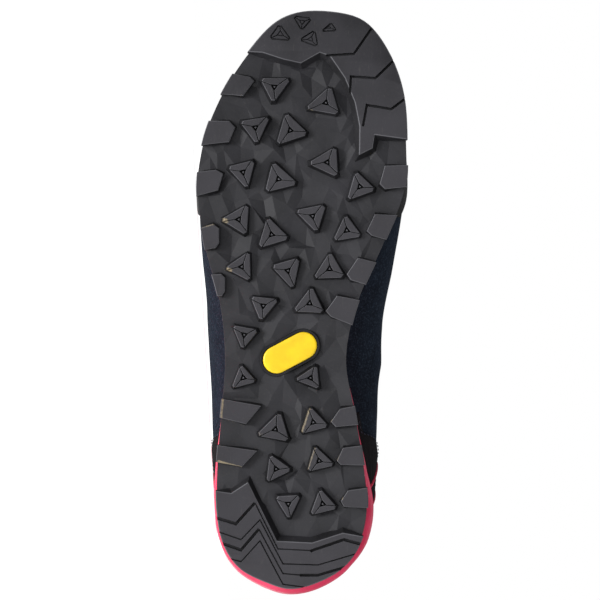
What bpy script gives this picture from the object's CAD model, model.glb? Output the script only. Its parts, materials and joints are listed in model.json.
"""Looks of the approach shoe: the fine sole, upper, lace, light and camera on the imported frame.

Each piece is modelled standing, with x from the heel to the toe, y to the inner side and z up from the
ground, from the part's own sizes. It is then laid on its side by the stand found from the frame's mounts.
"""

import json
import math
from collections import namedtuple

import bmesh
import bpy
import numpy as np
from mathutils import Matrix, Vector
from mathutils.geometry import delaunay_2d_cdt

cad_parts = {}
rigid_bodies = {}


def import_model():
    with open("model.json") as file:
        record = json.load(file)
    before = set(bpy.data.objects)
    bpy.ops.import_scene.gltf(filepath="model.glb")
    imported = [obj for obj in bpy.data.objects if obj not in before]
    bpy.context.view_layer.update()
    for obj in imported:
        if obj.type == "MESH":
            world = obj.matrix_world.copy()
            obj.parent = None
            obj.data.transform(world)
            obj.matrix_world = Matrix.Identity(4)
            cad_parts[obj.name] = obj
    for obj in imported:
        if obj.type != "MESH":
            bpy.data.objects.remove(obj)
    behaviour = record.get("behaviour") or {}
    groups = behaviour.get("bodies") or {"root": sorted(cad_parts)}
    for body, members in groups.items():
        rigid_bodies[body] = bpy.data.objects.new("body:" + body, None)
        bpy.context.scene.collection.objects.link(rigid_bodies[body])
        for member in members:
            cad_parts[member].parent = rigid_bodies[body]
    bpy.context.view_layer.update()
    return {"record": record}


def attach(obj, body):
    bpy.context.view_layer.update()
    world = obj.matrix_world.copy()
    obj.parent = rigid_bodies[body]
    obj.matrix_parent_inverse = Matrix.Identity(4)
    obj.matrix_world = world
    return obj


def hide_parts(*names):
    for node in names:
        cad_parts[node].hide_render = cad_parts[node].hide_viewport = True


MM = 0.001

# Main sizes
SOLE_LENGTH = 288 * MM
BALL_WIDTH = 104 * MM
HEEL_HEIGHT = 97 * MM
INSTEP_HEIGHT = 99 * MM

# Sole
LUG_HEIGHT = 3.8 * MM
PLATE = 3.5 * MM
EDGE_STEP = 0.6 * MM
EDGE_STEP_RISE = 2.0 * MM
GROOVE_WIDTH = 1.3 * MM
GROOVE_DEPTH = 1.6 * MM
HEEL_BEVEL = 4 * MM
HEEL_BEVEL_END = 0.10
TOE_SPRING = 13 * MM
TOE_SPRING_START = 0.70
ARCH_RISE = 2.5 * MM
ARCH_START = 0.28
ARCH_END = 0.55
HEEL_STACK = 20 * MM
MIDSOLE_FLARE = 2.4 * MM
MIDSOLE_TOP_INSET = 1.2 * MM
MIDSOLE_BULGE_AT = 0.45

# Plain oval inset under the arch
INSET_PLACE = (0.413, -0.095)
INSET_LENGTH = 28.6 * MM
INSET_WIDTH = 13.5 * MM
INSET_TURN = math.radians(62)
INSET_RIM = 1.2 * MM
INSET_RIM_HEIGHT = 1.2 * MM
INSET_PROUD = 0.3 * MM

# Upper and what lies on or in it
GAP = 0.3 * MM
UPPER_WALL = 2.0 * MM
FEATHER_INSET = 3.3 * MM
HEEL_FEATHER_INSET = 4.2 * MM
RAND_WALL = 1.5 * MM
COUNTER_WALL = 0.8 * MM
OVERLAY_FOOT = 0.06
EYESTAY_WALL = 1.2 * MM
EYESTAY_FACE = 2 * GAP + EYESTAY_WALL
INSOLE_WALL = 3.5 * MM
INSOLE_CLEARANCE = 0.8 * MM
TONGUE_WALL = 3.2 * MM
TONGUE_CLEARANCE = 0.9 * MM
TONGUE_RISE = 13 * MM
TONGUE_REACH = 24 * MM
EYELET_ROWS = 7
EYELET_RADIUS = 2.6 * MM
LACE_RADIUS = 1.25 * MM
LACE_ARCH = 1.0 * MM
LACE_DRIFT = 0.35

# The sole seen from below: 17 equal steps of a turn from heel to toe, half widths as shares of half the
# ball width, and how much of the midsole's flare stands beyond the tread
Outline = namedtuple("Outline", "lateral medial flare_lateral flare_medial")
OUTLINE = (
    Outline(-0.085, -0.085, 1.00, 1.00),
    Outline(-0.303, 0.171, 1.00, 1.15),
    Outline(-0.592, 0.436, 0.90, 1.10),
    Outline(-0.763, 0.616, 0.90, 1.10),
    Outline(-0.829, 0.697, 0.90, 1.30),
    Outline(-0.810, 0.640, 0.50, 0.80),
    Outline(-0.754, 0.536, 0.10, 0.25),
    Outline(-0.716, 0.441, 0.00, 0.00),
    Outline(-0.765, 0.550, 0.00, 0.00),
    Outline(-0.905, 0.787, 0.00, 0.00),
    Outline(-0.976, 0.992, 0.00, 0.00),
    Outline(-0.917, 1.012, 0.00, 0.00),
    Outline(-0.758, 0.986, 0.00, 0.00),
    Outline(-0.555, 0.885, 0.00, 0.00),
    Outline(-0.345, 0.728, 0.00, 0.00),
    Outline(-0.125, 0.515, 0.00, 0.00),
    Outline(0.150, 0.150, 0.00, 0.00),
)

# The opening's edge from the heel over the ankle to the top of the throat and down to its front end.
# at is the step along the sole, along and across place the edge, heel and instep share out its height
Edge = namedtuple("Edge", "at along lateral medial heel instep")
EDGE = (
    Edge(0.000, 0.030, -0.06, -0.06, 1.00, 0.000),
    Edge(0.125, 0.058, -0.33, 0.22, 0.96, 0.000),
    Edge(0.250, 0.140, -0.45, 0.36, 0.86, 0.000),
    Edge(0.375, 0.265, -0.45, 0.38, 0.83, 0.000),
    Edge(0.440, 0.355, -0.37, 0.31, 0.40, 0.540),
    Edge(0.500, 0.420, -0.25, 0.21, 0.00, 1.000),
    Edge(0.5625, 0.500, -0.22, 0.20, 0.00, 0.925),
    Edge(0.625, 0.580, -0.20, 0.20, 0.00, 0.830),
    Edge(0.750, 0.720, -0.15, 0.19, 0.00, 0.665),
    Edge(0.820, 0.775, -0.10, 0.17, 0.00, 0.605),
    Edge(0.900, 0.800, -0.03, 0.12, 0.00, 0.580),
    Edge(1.000, 0.806, 0.05, 0.05, 0.00, 0.575),
)

# The upper's side between feather line and edge. belly and shoulder are shares of the ball width that
# it swells outwards, rise and drop are shares of the height where it does
Section = namedtuple("Section", "at belly_lateral belly_medial shoulder_lateral shoulder_medial rise drop")
SECTION = (
    Section(0.0000, 0.055, 0.055, 0.000, 0.000, 0.35, 0.30),
    Section(0.1250, 0.110, 0.070, 0.040, 0.040, 0.35, 0.32),
    Section(0.2500, 0.100, 0.120, 0.070, 0.102, 0.38, 0.35),
    Section(0.3750, 0.205, 0.285, 0.175, 0.187, 0.33, 0.33),
    Section(0.4375, 0.246, 0.378, 0.246, 0.247, 0.30, 0.26),
    Section(0.5000, 0.250, 0.338, 0.284, 0.280, 0.30, 0.22),
    Section(0.5625, 0.171, 0.255, 0.270, 0.272, 0.30, 0.17),
    Section(0.6250, 0.120, 0.143, 0.260, 0.262, 0.34, 0.12),
    Section(0.6875, 0.115, 0.100, 0.250, 0.250, 0.42, 0.09),
    Section(0.7500, 0.100, 0.090, 0.240, 0.240, 0.50, 0.06),
    Section(0.8750, 0.070, 0.070, 0.300, 0.300, 0.60, 0.04),
    Section(1.0000, 0.050, 0.050, 0.400, 0.400, 0.62, 0.03),
)

# Thickness of the midsole from heel to toe, and how far its side stands in
Stack = namedtuple("Stack", "along thickness")
STACK = (
    Stack(0.00, 1.00),
    Stack(0.25, 1.00),
    Stack(0.45, 0.84),
    Stack(0.70, 0.42),
    Stack(0.85, 0.32),
    Stack(1.00, 0.28),
)
Inset = namedtuple("Inset", "at midsole feather")
INSET = (
    Inset(0.00, 0.00, 1.00),
    Inset(0.40, 0.00, 1.00),
    Inset(0.50, 0.30, 0.20),
    Inset(0.53, 0.45, 0.00),
    Inset(0.57, 1.00, 0.00),
    Inset(1.00, 1.00, 0.00),
)

# Three-cornered lugs: place, turn of the longest corner from the inner side towards the toe in degrees,
# radius to the other corners in millimetres and how much longer the longest one is
Lug = namedtuple("Lug", "along across turn radius reach")
LUGS = (
    Lug(0.871, -0.243, 27, 7.8, 1.11),
    Lug(0.800, -0.423, 37, 8.0, 1.06),
    Lug(0.795, -0.092, 226, 8.8, 1.08),
    Lug(0.843, 0.246, 196, 8.4, 1.22),
    Lug(0.740, 0.259, 183, 8.5, 1.07),
    Lug(0.723, -0.540, 284, 7.8, 1.04),
    Lug(0.711, -0.202, 346, 8.8, 1.07),
    Lug(0.698, 0.569, 227, 7.5, 1.16),
    Lug(0.648, 0.120, 163, 8.1, 1.07),
    Lug(0.642, -0.581, 58, 8.3, 1.03),
    Lug(0.616, -0.269, 225, 8.6, 1.03),
    Lug(0.623, 0.445, 217, 7.5, 1.06),
    Lug(0.561, -0.553, 63, 7.8, 1.04),
    Lug(0.554, -0.114, 286, 8.2, 1.12),
    Lug(0.557, 0.281, 210, 8.1, 1.10),
    Lug(0.498, 0.092, 205, 8.0, 1.07),
    Lug(0.494, -0.348, 22, 7.3, 1.07),
    Lug(0.444, -0.531, 141, 6.9, 1.01),
    Lug(0.370, -0.540, 222, 6.2, 1.17),
    Lug(0.370, 0.101, 186, 6.4, 1.14),
    Lug(0.282, -0.234, 197, 8.6, 1.10),
    Lug(0.294, 0.126, 223, 7.4, 1.04),
    Lug(0.214, -0.227, 235, 7.3, 1.05),
    Lug(0.228, 0.183, 345, 7.3, 1.03),
    Lug(0.154, -0.111, 273, 7.0, 1.04),
    Lug(0.154, 0.215, 222, 7.2, 1.08),
)

# The two lugs whose flat tips are the mounts
MOUNT_LUGS = {"heel_tread": (0.214, -0.227), "ball_tread": (0.648, 0.120)}

# Where a lug's corners lie round its middle, in degrees, and how much of each side its blunt corners take
LUG_CORNERS = (0, 122, 238)
LUG_BLUNT = 0.13

# Blocks along the sole's edge: side, where they begin and end on the edge, and their inner corners
Block = namedtuple("Block", "side back front inner")
BLOCKS = (
    Block(-1, 0.857, 0.893, ((0.888, -0.474), (0.881, -0.436), (0.855, -0.540))),
    Block(-1, 0.769, 0.811, ((0.811, -0.673), (0.800, -0.616), (0.775, -0.673))),
    Block(-1, 0.682, 0.723, ((0.727, -0.796), (0.720, -0.730), (0.692, -0.777))),
    Block(-1, 0.590, 0.627, ((0.634, -0.825), (0.626, -0.768), (0.602, -0.768), (0.593, -0.800))),
    Block(-1, 0.511, 0.548, ((0.548, -0.749), (0.542, -0.711), (0.519, -0.711), (0.511, -0.740))),
    Block(1, 0.698, 0.735, ((0.734, 0.806), (0.703, 0.758), (0.694, 0.806))),
    Block(1, 0.608, 0.650, ((0.651, 0.711), (0.622, 0.635), (0.614, 0.682))),
    Block(1, 0.531, 0.569, ((0.576, 0.550), (0.548, 0.445), (0.538, 0.483))),
    Block(1, 0.461, 0.504, ((0.511, 0.351), (0.485, 0.246), (0.475, 0.294))),
    Block(-1, 0.302, 0.334, ((0.322, -0.370), (0.291, -0.512))),
    Block(-1, 0.226, 0.255, ((0.245, -0.408), (0.218, -0.550))),
    Block(1, 0.290, 0.322, ((0.317, 0.379), (0.295, 0.294), (0.286, 0.341))),
    Block(1, 0.221, 0.255, ((0.250, 0.408), (0.228, 0.351), (0.221, 0.389))),
    Block(1, 0.147, 0.183, ((0.177, 0.455), (0.159, 0.389), (0.149, 0.417))),
)

# Smooth climbing zone round the toe and the big toe's edge, and the brake at the heel
TOE_ZONE_LATERAL = 0.931
TOE_ZONE_MEDIAL = 0.779
TOE_ZONE_INNER = (
    (0.787, 0.711), (0.764, 0.692), (0.752, 0.559), (0.802, 0.564), (0.843, 0.521), (0.886, 0.427),
    (0.925, 0.284), (0.931, 0.190), (0.912, 0.009), (0.919, -0.161), (0.931, -0.360),
)
BRAKE_LATERAL = 0.177
BRAKE_MEDIAL = 0.096
BRAKE_INNER = ((0.173, -0.654), (0.192, -0.493), (0.091, -0.218), (0.088, 0.114), (0.105, 0.408))

# Side view outlines, as shares of the sole's length and the heel's height, that cut the overlays
RAND_END = 0.655
RAND_RISE = ((0.640, 0.24), (0.72, 0.31), (0.84, 0.40), (0.95, 0.52))
COUNTER_SIDE = ((0.305, 0.10), (0.255, 0.42), (0.195, 0.60), (0.140, 0.76), (0.060, 0.86), (-0.10, 0.90))
EYESTAY_WIDTH = 0.16
EYESTAY_FROM = 0.50
EYESTAY_TO = 0.90
EYELETS_FROM = 0.520
EYELETS_TO = 0.835
EYELET_HEIGHT = 0.91

# Tongue: place along the throat, how deep its wings reach under the upper, its thickness and how far its
# middle stands up
Tongue = namedtuple("Tongue", "at wing thickness crown")
TONGUE = (
    Tongue(0.510, 0.980, 1.20, 1.0),
    Tongue(0.550, 0.900, 1.20, 1.0),
    Tongue(0.610, 0.850, 1.10, 1.0),
    Tongue(0.680, 0.830, 1.00, 1.0),
    Tongue(0.760, 0.840, 0.80, 0.5),
    Tongue(0.830, 0.870, 0.65, 0.0),
    Tongue(0.870, 0.900, 0.60, -1.0),
)
TONGUE_NOSE = (11 * MM, -2 * MM)
TONGUE_CROWN = 0.8 * MM

# The tongue's free tip: share of the way up it, and its width there as a share of its root's
TONGUE_TIP = ((0, 1), (0.5, 0.76), (0.85, 0.74), (1, 0.55))

# Camera: distance from the sole, what the picture spans there, and the middle of the picture
CAMERA_DISTANCE = 1.0
PICTURE_WIDTH = 296.2 * MM
PICTURE_CENTRE = 0.5038

# Fine forms of the tread
BEVEL = 0.35 * MM
SIPE_WIDTH = 0.45 * MM
SIPE_BEVEL = 0.18 * MM
SIPE_DEPTH = 1.5 * MM
PIT_RADIUS = 1.9 * MM
PIT_DEPTH = 2.8 * MM
PIT_NARROWING = 0.8
PYRAMID_RADIUS = 1.15 * MM
PYRAMID_TOP = 0.62 * MM
PYRAMID_HEIGHT = 2.45 * MM
FLOOR_BITE = 1.0 * MM
LUG_FOOT = 1.6 * MM
ZONE_FOOT = 2.3 * MM
FACET_LENGTH = 9 * MM
FACET_WIDTH = 5.4 * MM
FACET_RELIEF = 1.5 * MM
FACET_SWING = 1.5
FACET_JITTER = 0.9
FACET_MARGIN = 4 * MM
FLOOR_RIM_INSET = 0.1 * MM
TOE_GROOVE_WIDTH = 1.1 * MM
TOE_GROOVE_DEPTH = 1.8 * MM
ENGRAVING_WIDTH = 0.7 * MM
ENGRAVING_THIN = 0.42 * MM
ENGRAVING_DEPTH = 1.0 * MM
ENGRAVED_PIT = 0.30
ENGRAVED_SPOKE = 0.82
ENGRAVING_REACH = 1.10
ENGRAVING_BLUNT = 0.14
THIN_GROOVE_WIDTH = 0.6 * MM
THIN_GROOVE_DEPTH = 1.0 * MM

# Sections: a groove's from above its mouth to its floor as shares of its width and its depth, the rim round
# the inset's pocket as outward and upward places, and the inset's dome as ways in from its edge and down
Level = namedtuple("Level", "width depth")
GROOVE_SECTION = (Level(1.5, -0.5 * MM), Level(1.25, 0.05 * MM))
GROOVE_FLOOR = 0.7
RIM_CORNER = 0.25 * MM
RIM_BEVEL = 0.2 * MM
RIM_FOOT = 0.5 * MM
INSET_DOME = (Level(3.0 * MM, 0.02 * MM), Level(1.0 * MM, 0.05 * MM), Level(0.35 * MM, 0.15 * MM))
INSET_SHOULDER = 0.5 * MM

# The smooth zones' rim from the tip down, as shares of the bevel outwards and down, and the plate's side from
# its foot up to the ledge on its top, as ways in from the tread's edge and up from the lugs' foot
ZONE_SECTION = (Level(-1.8, 0), Level(-0.6, 0.5), Level(0, 1.6))
PLATE_SIDE = (
    Level(0.8 * MM, 0.1 * MM),
    Level(0.1 * MM, 0),
    Level(0, 0.4 * MM),
    Level(0, 1.5 * MM),
    Level(0.25 * MM, 1.7 * MM),
    Level(0.25 * MM, 2.0 * MM),
    Level(0, 2.2 * MM),
    Level(0, PLATE - 0.3 * MM),
    Level(0.3 * MM, PLATE),
    Level(8 * MM, PLATE),
)

# The foam's side from its foot, 0, to its top, 1: where its rows lie, how deep its two moulded lines are in
# millimetres, and how much of the flare and of the swell each height has
FOAM_ROWS = (0, 0.03, 0.10, 0.22, 0.34, 0.40, 0.43, 0.46, 0.52, 0.64, 0.70, 0.73, 0.76, 0.86, 0.95, 1.0)
FOAM_LINES = ((0.40, 0), (0.43, 0.7), (0.46, 0), (0.70, 0), (0.73, 0.6), (0.76, 0))
FOAM_FLARE = ((0, 1), (0.10, 0.45), (MIDSOLE_BULGE_AT, 0), (1, 0))
FOAM_SWELL = ((0, 0.25), (0.10, 0.75), (0.45, 1), (0.70, 0.7), (1, 0))
FOAM_LEDGE = 9 * MM

# How far the foam swells beyond the outline round the heel, in millimetres by the place along the sole
Swell = namedtuple("Swell", "at outer inner")
HEEL_SWELL = (
    Swell(0.000, 3.3, 3.3),
    Swell(0.012, 3.2, 2.9),
    Swell(0.045, 1.7, 1.6),
    Swell(0.085, 0.6, 1.9),
    Swell(0.150, 0.0, 0.6),
    Swell(0.200, 0.0, -0.5),
    Swell(0.270, 0.0, -0.8),
    Swell(0.330, 0.0, 0.0),
)

# How far the smooth zone reaches beyond the outline at the tip of the toe
TOE_SWELL = 1.4 * MM
TOE_SWELL_FROM = 0.93

# What repeats or follows a line
BRAID_PITCH = 2.2 * MM
BRAID_STRANDS = 3
STITCH_PITCH = 2.6 * MM
STITCH_LENGTH = 1.9 * MM
STITCH_WIDTH = 0.5 * MM
HEEL_LINE_RADIUS = 0.75 * MM
RING_RADIUS = 0.92 * EYELET_RADIUS
RING_THICKNESS = 0.30 * EYELET_RADIUS
BORE_RADIUS = 0.72 * EYELET_RADIUS
BORE_LIFT = 0.12 * MM
THREAD_LIFT = 0.05 * MM
EDGE_THREAD_LIFT = 0.2 * MM

# Collar: how far up the upper's outside is drawn before it rolls in, and the padding inside and outside
ROLL_AT = 0.985
ROLL_REACH = 2.0 * MM
COLLAR_PADDING = 3.4 * MM
COLLAR_BULGE = 1.3 * MM
COLLAR_WALL = 0.5 * MM
COLLAR_END = 0.375
COLLAR_FADE = (0.38, 0.47)
COLLAR_LOW = 0.80
COLLAR_DROP = 0.05
PADDING_FROM = 0.62
PADDING_TO = 0.90
LINING_FOOT = 0.02

# Rims of the layers on the upper: how far in each step of the rounding lies, how high it stands, and how
# deep the rim dips into the skin
RIM_STEPS = (0, 0.02, 0.35)
RIM_HEIGHTS = (0, 0.35, 0.85)
RIM_DIP = 0.25 * MM
THIN_RIM = 1.0 * MM

# Lacing bands: width of their ends, how soon they widen, and how far up the upper they reach
EYESTAY_TIP = 0.45
EYESTAY_TAPER = 0.14
EYESTAY_TOP = 0.992

# Seams: how far from the ends and edges of what they hold
SEAM_END = 0.006
SEAM_LOW = 0.016
SEAM_HIGH = 0.014
PANEL_SEAM_END = 0.012
PANEL_SEAM = 0.028

# Rand: its two ridges as share of the way up, half width and height, where they fade in, and its rounded
# top as share of the way up and of its thickness
Ridge = namedtuple("Ridge", "at width height")
RIDGES = (Ridge(0.30, 0.035, 0.35 * MM), Ridge(0.45, 0.03, 0.25 * MM))
RIDGES_FROM = 0.80
RIDGES_TO = 0.9
RAND_TOP = ((0.985, 0.85), (0.996, 0.4), (1.0, 0))

# Heel panel: spacing and height of its ribs, its rim, and its raspberry lines, each from a place on the loop
# and share of the way up to another
RIB_PITCH = 2.6 * MM
RIB_HEIGHT = 0.22 * MM
RIB_TROUGH = -0.3
PANEL_RIM = 3.0 * MM
HEEL_LINES = (
    ((0.262, 0.05), (0.300, 0.40)),
    ((0.232, 0.05), (0.262, 0.36)),
    ((0.190, 0.05), (0.214, 0.32)),
    ((1.730, 0.05), (1.694, 0.40)),
    ((1.765, 0.05), (1.735, 0.36)),
    ((1.806, 0.05), (1.782, 0.32)),
)

# Footbed from its edge to its middle: how far in, in millimetres, and share of its thickness
FOOTBED = (
    (0.6, 0.0), (0.0, 0.3), (0.0, 0.8), (0.5, 1.0), (4.0, 0.95), (12.0, 0.85), (24.0, 0.8), (34.0, 0.8),
)

# Tongue across its width: where its five lines lie, and its quilted channels' places, half width and depth
TONGUE_LINES = (0, 0.12, 0.5, 0.88, 1)
CHANNELS = (0.25, 0.5, 0.75)
CHANNEL_WIDTH = 0.03
CHANNEL_DEPTH = 0.35

# Finishes of one colour: roughness, shine, and the width and height of the grain in millimetres. Grain that
# is too fine to show is drawn about twice as coarse as the real one
Finish = namedtuple("Finish", "shade roughness specular grain relief")
FINISHES = {
    # Black rubber from a polished mould: satin, so that its ridges catch a soft line of light
    "rubber_black_moulded": Finish("151517", 0.5, 0.35, 0.7, 0.06),
    # The same rubber from a rough mould: no shine, so the rim frames the inset like a drawn line
    "rubber_black_matt": Finish("0B0A0A", 0.85, 0.1, 0.7, 0.05),
    # Pigmented rubber, moulded: strong yellow with a low gloss, nearly smooth
    "rubber_yellow_moulded": Finish("F3CC18", 0.4, 0.4, 1.2, 0.03),
    # Woven polyester tape that binds the opening: dull, with a fine tooth
    "polyester_tape_woven": Finish("101114", 0.8, 0.2, 0.6, 0.08),
    # Ink printed on mesh: raspberry, flat and a little chalky
    "raspberry_ink_printed": Finish("BE2448", 0.6, 0.5, 0.8, 0.03),
    # Polyurethane leather, embossed: black with a pebbled grain and a faint sheen
    "synthetic_leather_embossed": Finish("16161A", 0.65, 0.3, 0.9, 0.07),
    # Twisted polyester thread: slate blue, paler than what it holds
    "polyester_thread_twisted": Finish("2F3648", 0.8, 0.5, 0.4, 0.05),
    # Steel painted black and baked: hard small highlights round each ring
    "steel_painted_black": Finish("2A2B2E", 0.38, 0.5, 0.8, 0.01),
    # The shade in an eyelet's bore: black, with nothing to shine
    "bore_in_shade": Finish("060606", 0.9, 0.0, 1.0, 0.01),
}

# Knitted and woven cloths: their threads, the gaps between, and the pitch of the stitches in millimetres,
# drawn about twice as coarse as the real ones so that they show
Cloth = namedtuple("Cloth", "shade gap pitch")
CLOTHS = {
    # Open polyester mesh over the heel: black with darker holes in rows
    "polyester_mesh_woven": Cloth("201F22", "0A0A0B", 1.3),
    # Lining: charcoal, soft and even
    "polyester_lining_knitted": Cloth("212227", "0E0E10", 1.6),
    # Collar: a closer knit, near black with a blue cast
    "polyester_collar_knitted": Cloth("1D1E23", "0D0E11", 1.1),
    # Top cloth of the footbed: grey, the palest of the cloths
    "polyester_footbed_knitted": Cloth("2B2D32", "191A1D", 1.4),
    # Outside of the tongue: near black with visible stitches
    "polyester_tongue_knitted": Cloth("1D1F24", "0D0E10", 1.5),
}

# Greys of the rubber and blues of the suede
TIP_GREY = "343337"
FLANK_GREY = "0F0F11"
FLOOR_GREY = "28282B"
SUEDE_DEEP = "10151E"
SUEDE_NAP = "18202B"

# Soft round lights: place, size, power, and whether the rubber mirrors them. The key shines from below
# through the floor, on to the sole
Light = namedtuple("Light", "name place size power glossy")
LIGHTS = (
    Light("back", (0.35, 0.9, 1.2), 0.8, 10, False),
    Light("front", (0.9, -0.9, 0.6), 0.9, 4, True),
    Light("key", (-0.30, -0.80, -1.05), 0.45, 16, True),
)
LIGHT_AIM = (0, 0, 0.05)

# The sky's strength on the shoe, the glow of the floor, and the floor's half width
SKY_LIGHT = 0.25
FLOOR_GLOW = 0.78
FLOOR_SIZE = 6.0

# Lace: how far beside an eyelet's middle a strand lies, how deep it starts, where it bends over the band,
# and how much higher or lower than the bar the two strands of a crossing pass
LACE_BESIDE = 0.28 * EYELET_RADIUS
LACE_SUNK = 0.6 * MM
LACE_BOW = 0.9
LACE_BEND_UP = 0.955
LACE_OVER = 1.6 * MM
LACE_UNDER = -0.4 * MM

# Mesh fineness of the looks, and the small steps from which a surface's directions are read
PLACE_STEP = 0.003
UP_STEP = 0.01
OUTLINE_STEP = 0.004
RIM_POINTS = 150
TONGUE_COLUMNS = 41
AROUND = 300
OUTER_ROWS = 56
RIM_ROWS = 9
LINING_ROWS = 22
BEND_CUTS = 64

# Thin grooves of the climbing zone and the heel brake, and the triangles engraved on the toe
TOE_GROOVES = (
    ((0.926, 0.250), (0.929, 0.517), (0.975, 0.690)),
    ((0.858, 0.475), (0.889, 0.488), (0.886, 0.720), (0.925, 0.940)),
    ((0.802, 0.600), (0.839, 0.638), (0.832, 0.870), (0.858, 1.060)),
)
THICK_CHEVRONS = (
    ((0.134, -0.860), (0.120, -0.607), (0.156, -0.427)),
    ((0.093, -0.840), (0.075, -0.559), (0.111, -0.389)),
    ((0.072, 0.100), (0.074, 0.114), (0.093, 0.417), (0.082, 0.640)),
    ((0.031, 0.000), (0.031, 0.171), (0.050, 0.520)),
)
THIN_CHEVRONS = (
    ((0.156, -0.427), (0.077, -0.209), (0.074, 0.110)),
    ((0.108, -0.800), (0.093, -0.559), (0.127, -0.379), (0.051, -0.161), (0.049, 0.171), (0.070, 0.560)),
    ((0.111, -0.389), (0.034, -0.161), (0.031, 0.020)),
    ((0.066, -0.800), (0.055, -0.559), (0.091, -0.379), (0.015, -0.161), (0.008, 0.110)),
)
Engraving = namedtuple("Engraving", "corners pit")
ENGRAVINGS = (
    Engraving(((0.996, -0.055), (0.992, 0.108), (0.972, 0.017)), (0.986, 0.020)),
    Engraving(((0.981, -0.193), (0.954, -0.090), (0.957, -0.285)), (0.965, -0.187)),
    Engraving(((0.970, 0.141), (0.943, 0.166), (0.954, 0.003)), (0.955, 0.100)),
    Engraving(((0.984, 0.300), (0.971, 0.346), (0.970, 0.212)), (0.977, 0.274)),
)

# Scuffed strokes on the sole: their two ends as shares, half width in millimetres and strength
Scuff = namedtuple("Scuff", "along1 across1 along2 across2 width strength")
SCUFFS = (
    Scuff(0.643, -0.768, 0.639, -0.701, 1.5, 1.0),
    Scuff(0.557, -0.720, 0.555, -0.664, 1.4, 1.0),
    Scuff(0.278, -0.436, 0.272, -0.360, 1.2, 0.7),
    Scuff(0.681, -0.948, 0.686, -0.749, 0.7, 0.9),
    Scuff(0.629, -0.929, 0.635, -0.773, 0.6, 0.8),
    Scuff(0.615, 0.607, 0.608, 0.791, 0.6, 0.6),
    Scuff(0.723, 0.768, 0.704, 0.754, 0.6, 0.7),
    Scuff(0.572, 0.512, 0.550, 0.450, 0.6, 0.7),
    Scuff(0.300, -0.758, 0.288, -0.540, 0.8, 1.0),
    Scuff(0.338, -0.730, 0.299, -0.749, 0.7, 0.9),
    Scuff(0.227, -0.773, 0.216, -0.555, 0.9, 1.0),
    Scuff(0.305, 0.313, 0.295, 0.294, 0.6, 0.8),
    Scuff(0.241, 0.374, 0.229, 0.351, 0.6, 0.8),
    Scuff(0.178, 0.417, 0.163, 0.398, 0.7, 0.9),
    Scuff(0.178, 0.417, 0.186, 0.607, 0.5, 0.6),
    Scuff(0.319, 0.090, 0.278, 0.019, 0.9, 0.9),
    Scuff(0.249, 0.142, 0.208, 0.062, 0.7, 0.8),
    Scuff(0.831, 0.057, 0.829, 0.114, 1.1, 0.8),
    Scuff(0.847, -0.275, 0.841, -0.246, 0.9, 0.6),
    Scuff(0.929, -0.445, 0.919, -0.209, 0.5, 0.6),
    Scuff(0.855, -0.749, 0.858, -0.512, 0.5, 0.6),
    Scuff(0.133, -0.758, 0.120, -0.607, 0.5, 0.6),
    Scuff(0.093, -0.739, 0.077, -0.569, 0.5, 0.5),
    Scuff(0.644, -0.209, 0.631, -0.227, 0.5, 0.4),
)

# Creases and soft ridges of the upper in side view: side, start and end as shares of the sole's length
# and the heel's height, depth in millimetres (a ridge is negative) and half width in millimetres
CREASE_FADE = 0.12
CREASE_SIDE_FADE = 8 * MM
Crease = namedtuple("Crease", "side x1 z1 x2 z2 depth width")
CREASES = (
    Crease(0, 0.762, 0.40, 0.748, 0.80, 1.00, 3.4),
    Crease(0, 0.737, 0.36, 0.722, 0.84, 0.75, 3.0),
    Crease(0, 0.712, 0.40, 0.700, 0.80, 0.45, 3.0),
    Crease(0, 0.750, 0.38, 0.735, 0.80, -0.45, 2.6),
    Crease(0, 0.724, 0.36, 0.711, 0.80, -0.35, 2.6),
    Crease(-1, 0.700, 0.34, 0.640, 0.52, 0.60, 4.0),
    Crease(1, 0.690, 0.34, 0.630, 0.55, 0.60, 4.0),
    Crease(-1, 0.400, 0.62, 0.300, 0.50, 0.90, 5.0),
    Crease(-1, 0.430, 0.48, 0.350, 0.38, 0.60, 5.0),
    Crease(1, 0.400, 0.62, 0.290, 0.52, 0.90, 5.0),
    Crease(1, 0.440, 0.46, 0.360, 0.36, 0.55, 5.0),
    Crease(0, 0.070, 0.62, 0.000, 0.58, 0.50, 4.5),
    Crease(-1, 0.560, 0.36, 0.470, 0.48, 0.40, 6.0),
    Crease(1, 0.570, 0.38, 0.470, 0.50, 0.40, 6.0),
)


def hermite(knots, values, slopes, place):
    """A smooth curve through values at rising knots."""
    i = np.clip(np.searchsorted(knots, place, side="right") - 1, 0, len(knots) - 2)
    span = knots[i + 1] - knots[i]
    t = (place - knots[i]) / span
    near = (1 + 2 * t) * (1 - t) ** 2 * values[i] + t * (1 - t) ** 2 * span * slopes[i]
    far = t * t * (3 - 2 * t) * values[i + 1] + t * t * (t - 1) * span * slopes[i + 1]
    return near + far


def track(knots, lateral, medial):
    """The closed loop heel, outer side, toe, inner side of one column pair, as a function of 0 to 2."""
    back = range(len(knots) - 2, 0, -1)
    places = list(knots) + [2 - knots[i] for i in back]
    values = list(lateral) + [medial[i] for i in back]
    places = np.array([places[-1] - 2] + places + [2, 2 + places[1]])
    values = np.array([values[-1]] + values + [values[0], values[1]])
    slopes = np.gradient(values, places)
    return lambda place: hermite(places, values, slopes, np.asarray(place, float) % 2)


def column(table, name):
    """One column of a table."""
    return [getattr(row, name) for row in table]


def between(stops, place):
    """A value read between the stops of a table of places and values."""
    places, values = zip(*stops)
    return np.interp(place, places, values)


def share_at(place):
    """Distance from the heel, as a share of the length, at a place on the loop."""
    return (1 - np.cos(np.pi * np.asarray(place, float))) / 2


def place_at(share, side):
    """The place on the loop, on the side -1 or 1, at a share of the length."""
    step = math.acos(1 - 2 * share) / math.pi
    return step if side < 0 else 2 - step


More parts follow.
